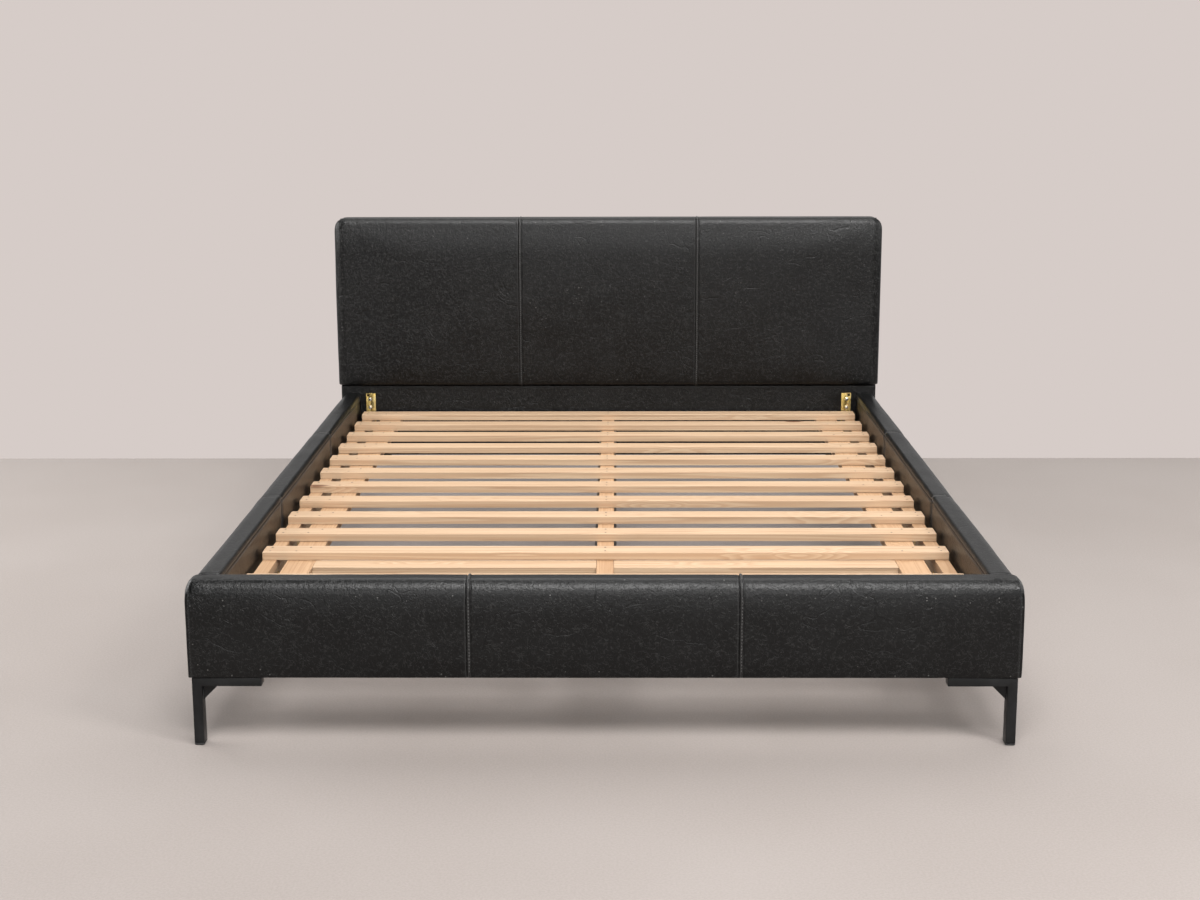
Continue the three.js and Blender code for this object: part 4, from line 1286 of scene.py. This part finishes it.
def add_bracket_screws():
    spots = []
    for name, side in SIDES:
        for end, sign in (("head", -1), ("foot", 1)):
            low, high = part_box(f"{end}_bracket_{name}")
            face = high.y if sign < 0 else low.y
            flange = side * (max(abs(low.x), abs(high.x)) - 3 * MM)
            for away in (28 * MM, 48 * MM):
                spots.append((Vector((flange, face + sign * away, low.z + 25 * MM)), (-side, 0, 0)))
            if end == "foot":
                x = side * (min(abs(low.x), abs(high.x)) + 19 * MM)
                for up in (18 * MM, 46 * MM):
                    spots.append((Vector((x, low.y + 3 * MM, low.z + up)), (0, 1, 0)))
    heads("screws_brackets", "bed_frame", "bright_zinc", bright_zinc, pan_head(4.4 * MM, 2.4 * MM), spots)


def add_beam_screws():
    spots = []
    for end, sign in (("head", -1), ("foot", 1)):
        low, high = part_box("beam_hanger_" + end)
        y = high.y - 3 * MM if sign < 0 else low.y + 3 * MM
        for x in (low.x + 10 * MM, high.x - 10 * MM):
            for z in (low.z + 11 * MM, high.z - 11 * MM):
                spots.append((Vector((x, y, z)), (0, sign, 0)))
    for i in (1, 2):
        low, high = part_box(f"centre_leg_{i}")
        for y in (low.y + 12 * MM, high.y - 12 * MM):
            spots.append((Vector((0, y, high.z - 3 * MM)), (0, 0, -1)))
    heads("screws_beam", "bed_frame", "bright_zinc", bright_zinc, pan_head(4.4 * MM, 2.4 * MM), spots)


LEG_ARM_HEIGHT = 18 * MM
LEG_ARM_SCREWS = (12 * MM, 58 * MM)   # from the arm's tip


def add_leg_screws():
    spots = []
    for name, side in SIDES:
        for end in ("front", "rear"):
            low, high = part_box(f"{end}_leg_{name}")
            tip, middle = min(abs(low.x), abs(high.x)), (low.y + high.y) / 2
            for reach in LEG_ARM_SCREWS:
                place = Vector((side * (tip + reach), middle, high.z - LEG_ARM_HEIGHT))
                spots.append((place, (0, 0, -1)))
    heads("screws_legs", "bed_frame", "black_steel", black_steel, socket_head(5.5 * MM, 1.2 * MM), spots)


def add_ledge_screws():
    spots = []
    for name, side in SIDES:
        low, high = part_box("side_ledge_" + name)
        inner = side * min(abs(low.x), abs(high.x))
        for y in np.linspace(low.y + 0.06, high.y - 0.06, 8):
            spots.append((Vector((inner, y, (low.z + high.z) / 2)), (-side, 0, 0)))
    heads("screws_ledges", "bed_frame", "yellow_zinc", yellow_zinc, pan_head(4.2 * MM, 0.9 * MM), spots)


STAPLE_PITCH = 52 * MM


def staple_line(start, end, across, normal, seed):
    """Staples from start to end, lying across the line, each a little off its place and angle."""
    start, end = Vector(start), Vector(end)
    count = int((end - start).length / STAPLE_PITCH)
    shake = np.random.default_rng(seed).uniform(-1, 1, (count, 2))
    way = (end - start).normalized()
    places = []
    for i in range(count):
        place = start + way * ((i + 0.5) * STAPLE_PITCH + shake[i, 0] * 4 * MM)
        places.append((place, (Vector(across) + way * 0.14 * shake[i, 1]).normalized(), normal))
    return places


def add_staples():
    """Where the leather's hem meets the boards underneath, and round the dust cover behind the headboard."""
    hem, down = [], (0, 0, -1)
    z = rail_low.z
    for name, _ in SIDES:
        low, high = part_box("side_rail_board_" + name)
        for x in (low.x, high.x):
            front, back = (x, rail_low.y + 0.09, z), (x, rail_high.y - 0.03, z)
            hem += staple_line(front, back, (1, 0, 0), down, int(x * 1000) + 2000)
    for y in (foot_board_low.y, foot_board_high.y):
        hem += staple_line((-0.66, y, z), (0.66, y, z), (0, 1, 0), down, int(y * 1000) + 4000)
    staple = spindle(length=10 * MM, radius=0.6 * MM, shoulder=0.47)
    scatter("staples_hems", "bed_frame", "bright_zinc", bright_zinc, staple, hem)
    y, edge = back_cover_high.y, 7 * MM
    left, right = back_cover_low.x + edge, back_cover_high.x - edge
    bottom, top = back_cover_low.z + edge, back_cover_high.z - edge
    round_it = []
    for i, (a, b) in enumerate((((left, bottom), (left, top)), ((left, top), (right, top)),
                                ((right, top), (right, bottom)), ((right, bottom), (left, bottom)))):
        along = (0, 0, 1) if a[0] == b[0] else (1, 0, 0)
        round_it += staple_line((a[0], y, a[1]), (b[0], y, b[1]), along, (0, 1, 0), 70 + i)
    scatter("staples_back_cover", "bed_frame", "bright_zinc", bright_zinc, staple, round_it)


def bead(start, end, radius=1.5 * MM, ripple=2.2 * MM):
    """A weld bead's rippled rod between two points."""
    start, end = np.array(start), np.array(end)
    length = np.linalg.norm(end - start)
    steps = max(6, int(length / (ripple / 4)))
    way = (end - start) / length
    side = np.cross(way, (0.31, 0.52, 0.79))
    side /= np.linalg.norm(side)
    other = np.cross(way, side)
    rings = []
    for i in range(steps + 1):
        share = i / steps
        taper = min(1.0, 6 * min(share, 1 - share) + 0.25)
        r = radius * taper * (1 + 0.22 * math.sin(2 * math.pi * share * length / ripple))
        for k in range(8):
            turn = math.pi * k / 4
            rings.append(start + way * share * length + r * (math.cos(turn) * side + math.sin(turn) * other))
    faces = [tuple(range(8))[::-1], tuple(range(steps * 8, steps * 8 + 8))]
    for i in range(steps):
        for k in range(8):
            a, b = i * 8 + k, i * 8 + (k + 1) % 8
            faces.append((a, b, b + 8, a + 8))
    return rings, faces


def add_welds():
    """Beads between each corner leg's post, arm and gusset."""
    points, faces = [], []
    gusset, thick = 32 * MM, 2 * MM
    for name, side in SIDES:
        for end in ("front", "rear"):
            low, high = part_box(f"{end}_leg_{name}")
            post = side * (max(abs(low.x), abs(high.x)) - 20 * MM)
            under = high.z - LEG_ARM_HEIGHT
            middle = (low.y + high.y) / 2
            for face, edge in ((-1, low.y), (1, high.y)):
                y = middle + face * thick
                inset = edge - face * 3 * MM
                corner = (post, y, under)
                ends = ((post, y, under - gusset), (post - side * gusset, y, under), (post, inset, under))
                for end_point in ends:
                    rings, quads = bead(corner, end_point)
                    base = len(points)
                    points += rings
                    faces += [tuple(base + i for i in f) for f in quads]
    obj = new_object("welds_legs", mesh_from("welds_legs", points, faces))
    changed(obj.data, face_outwards)
    smooth(obj, 50)
    finish_piece(obj, "bed_frame", "black_steel", black_steel)


add_slat_nails()
add_bracket_screws()
add_beam_screws()
add_leg_screws()
add_ledge_screws()
add_staples()
add_welds()
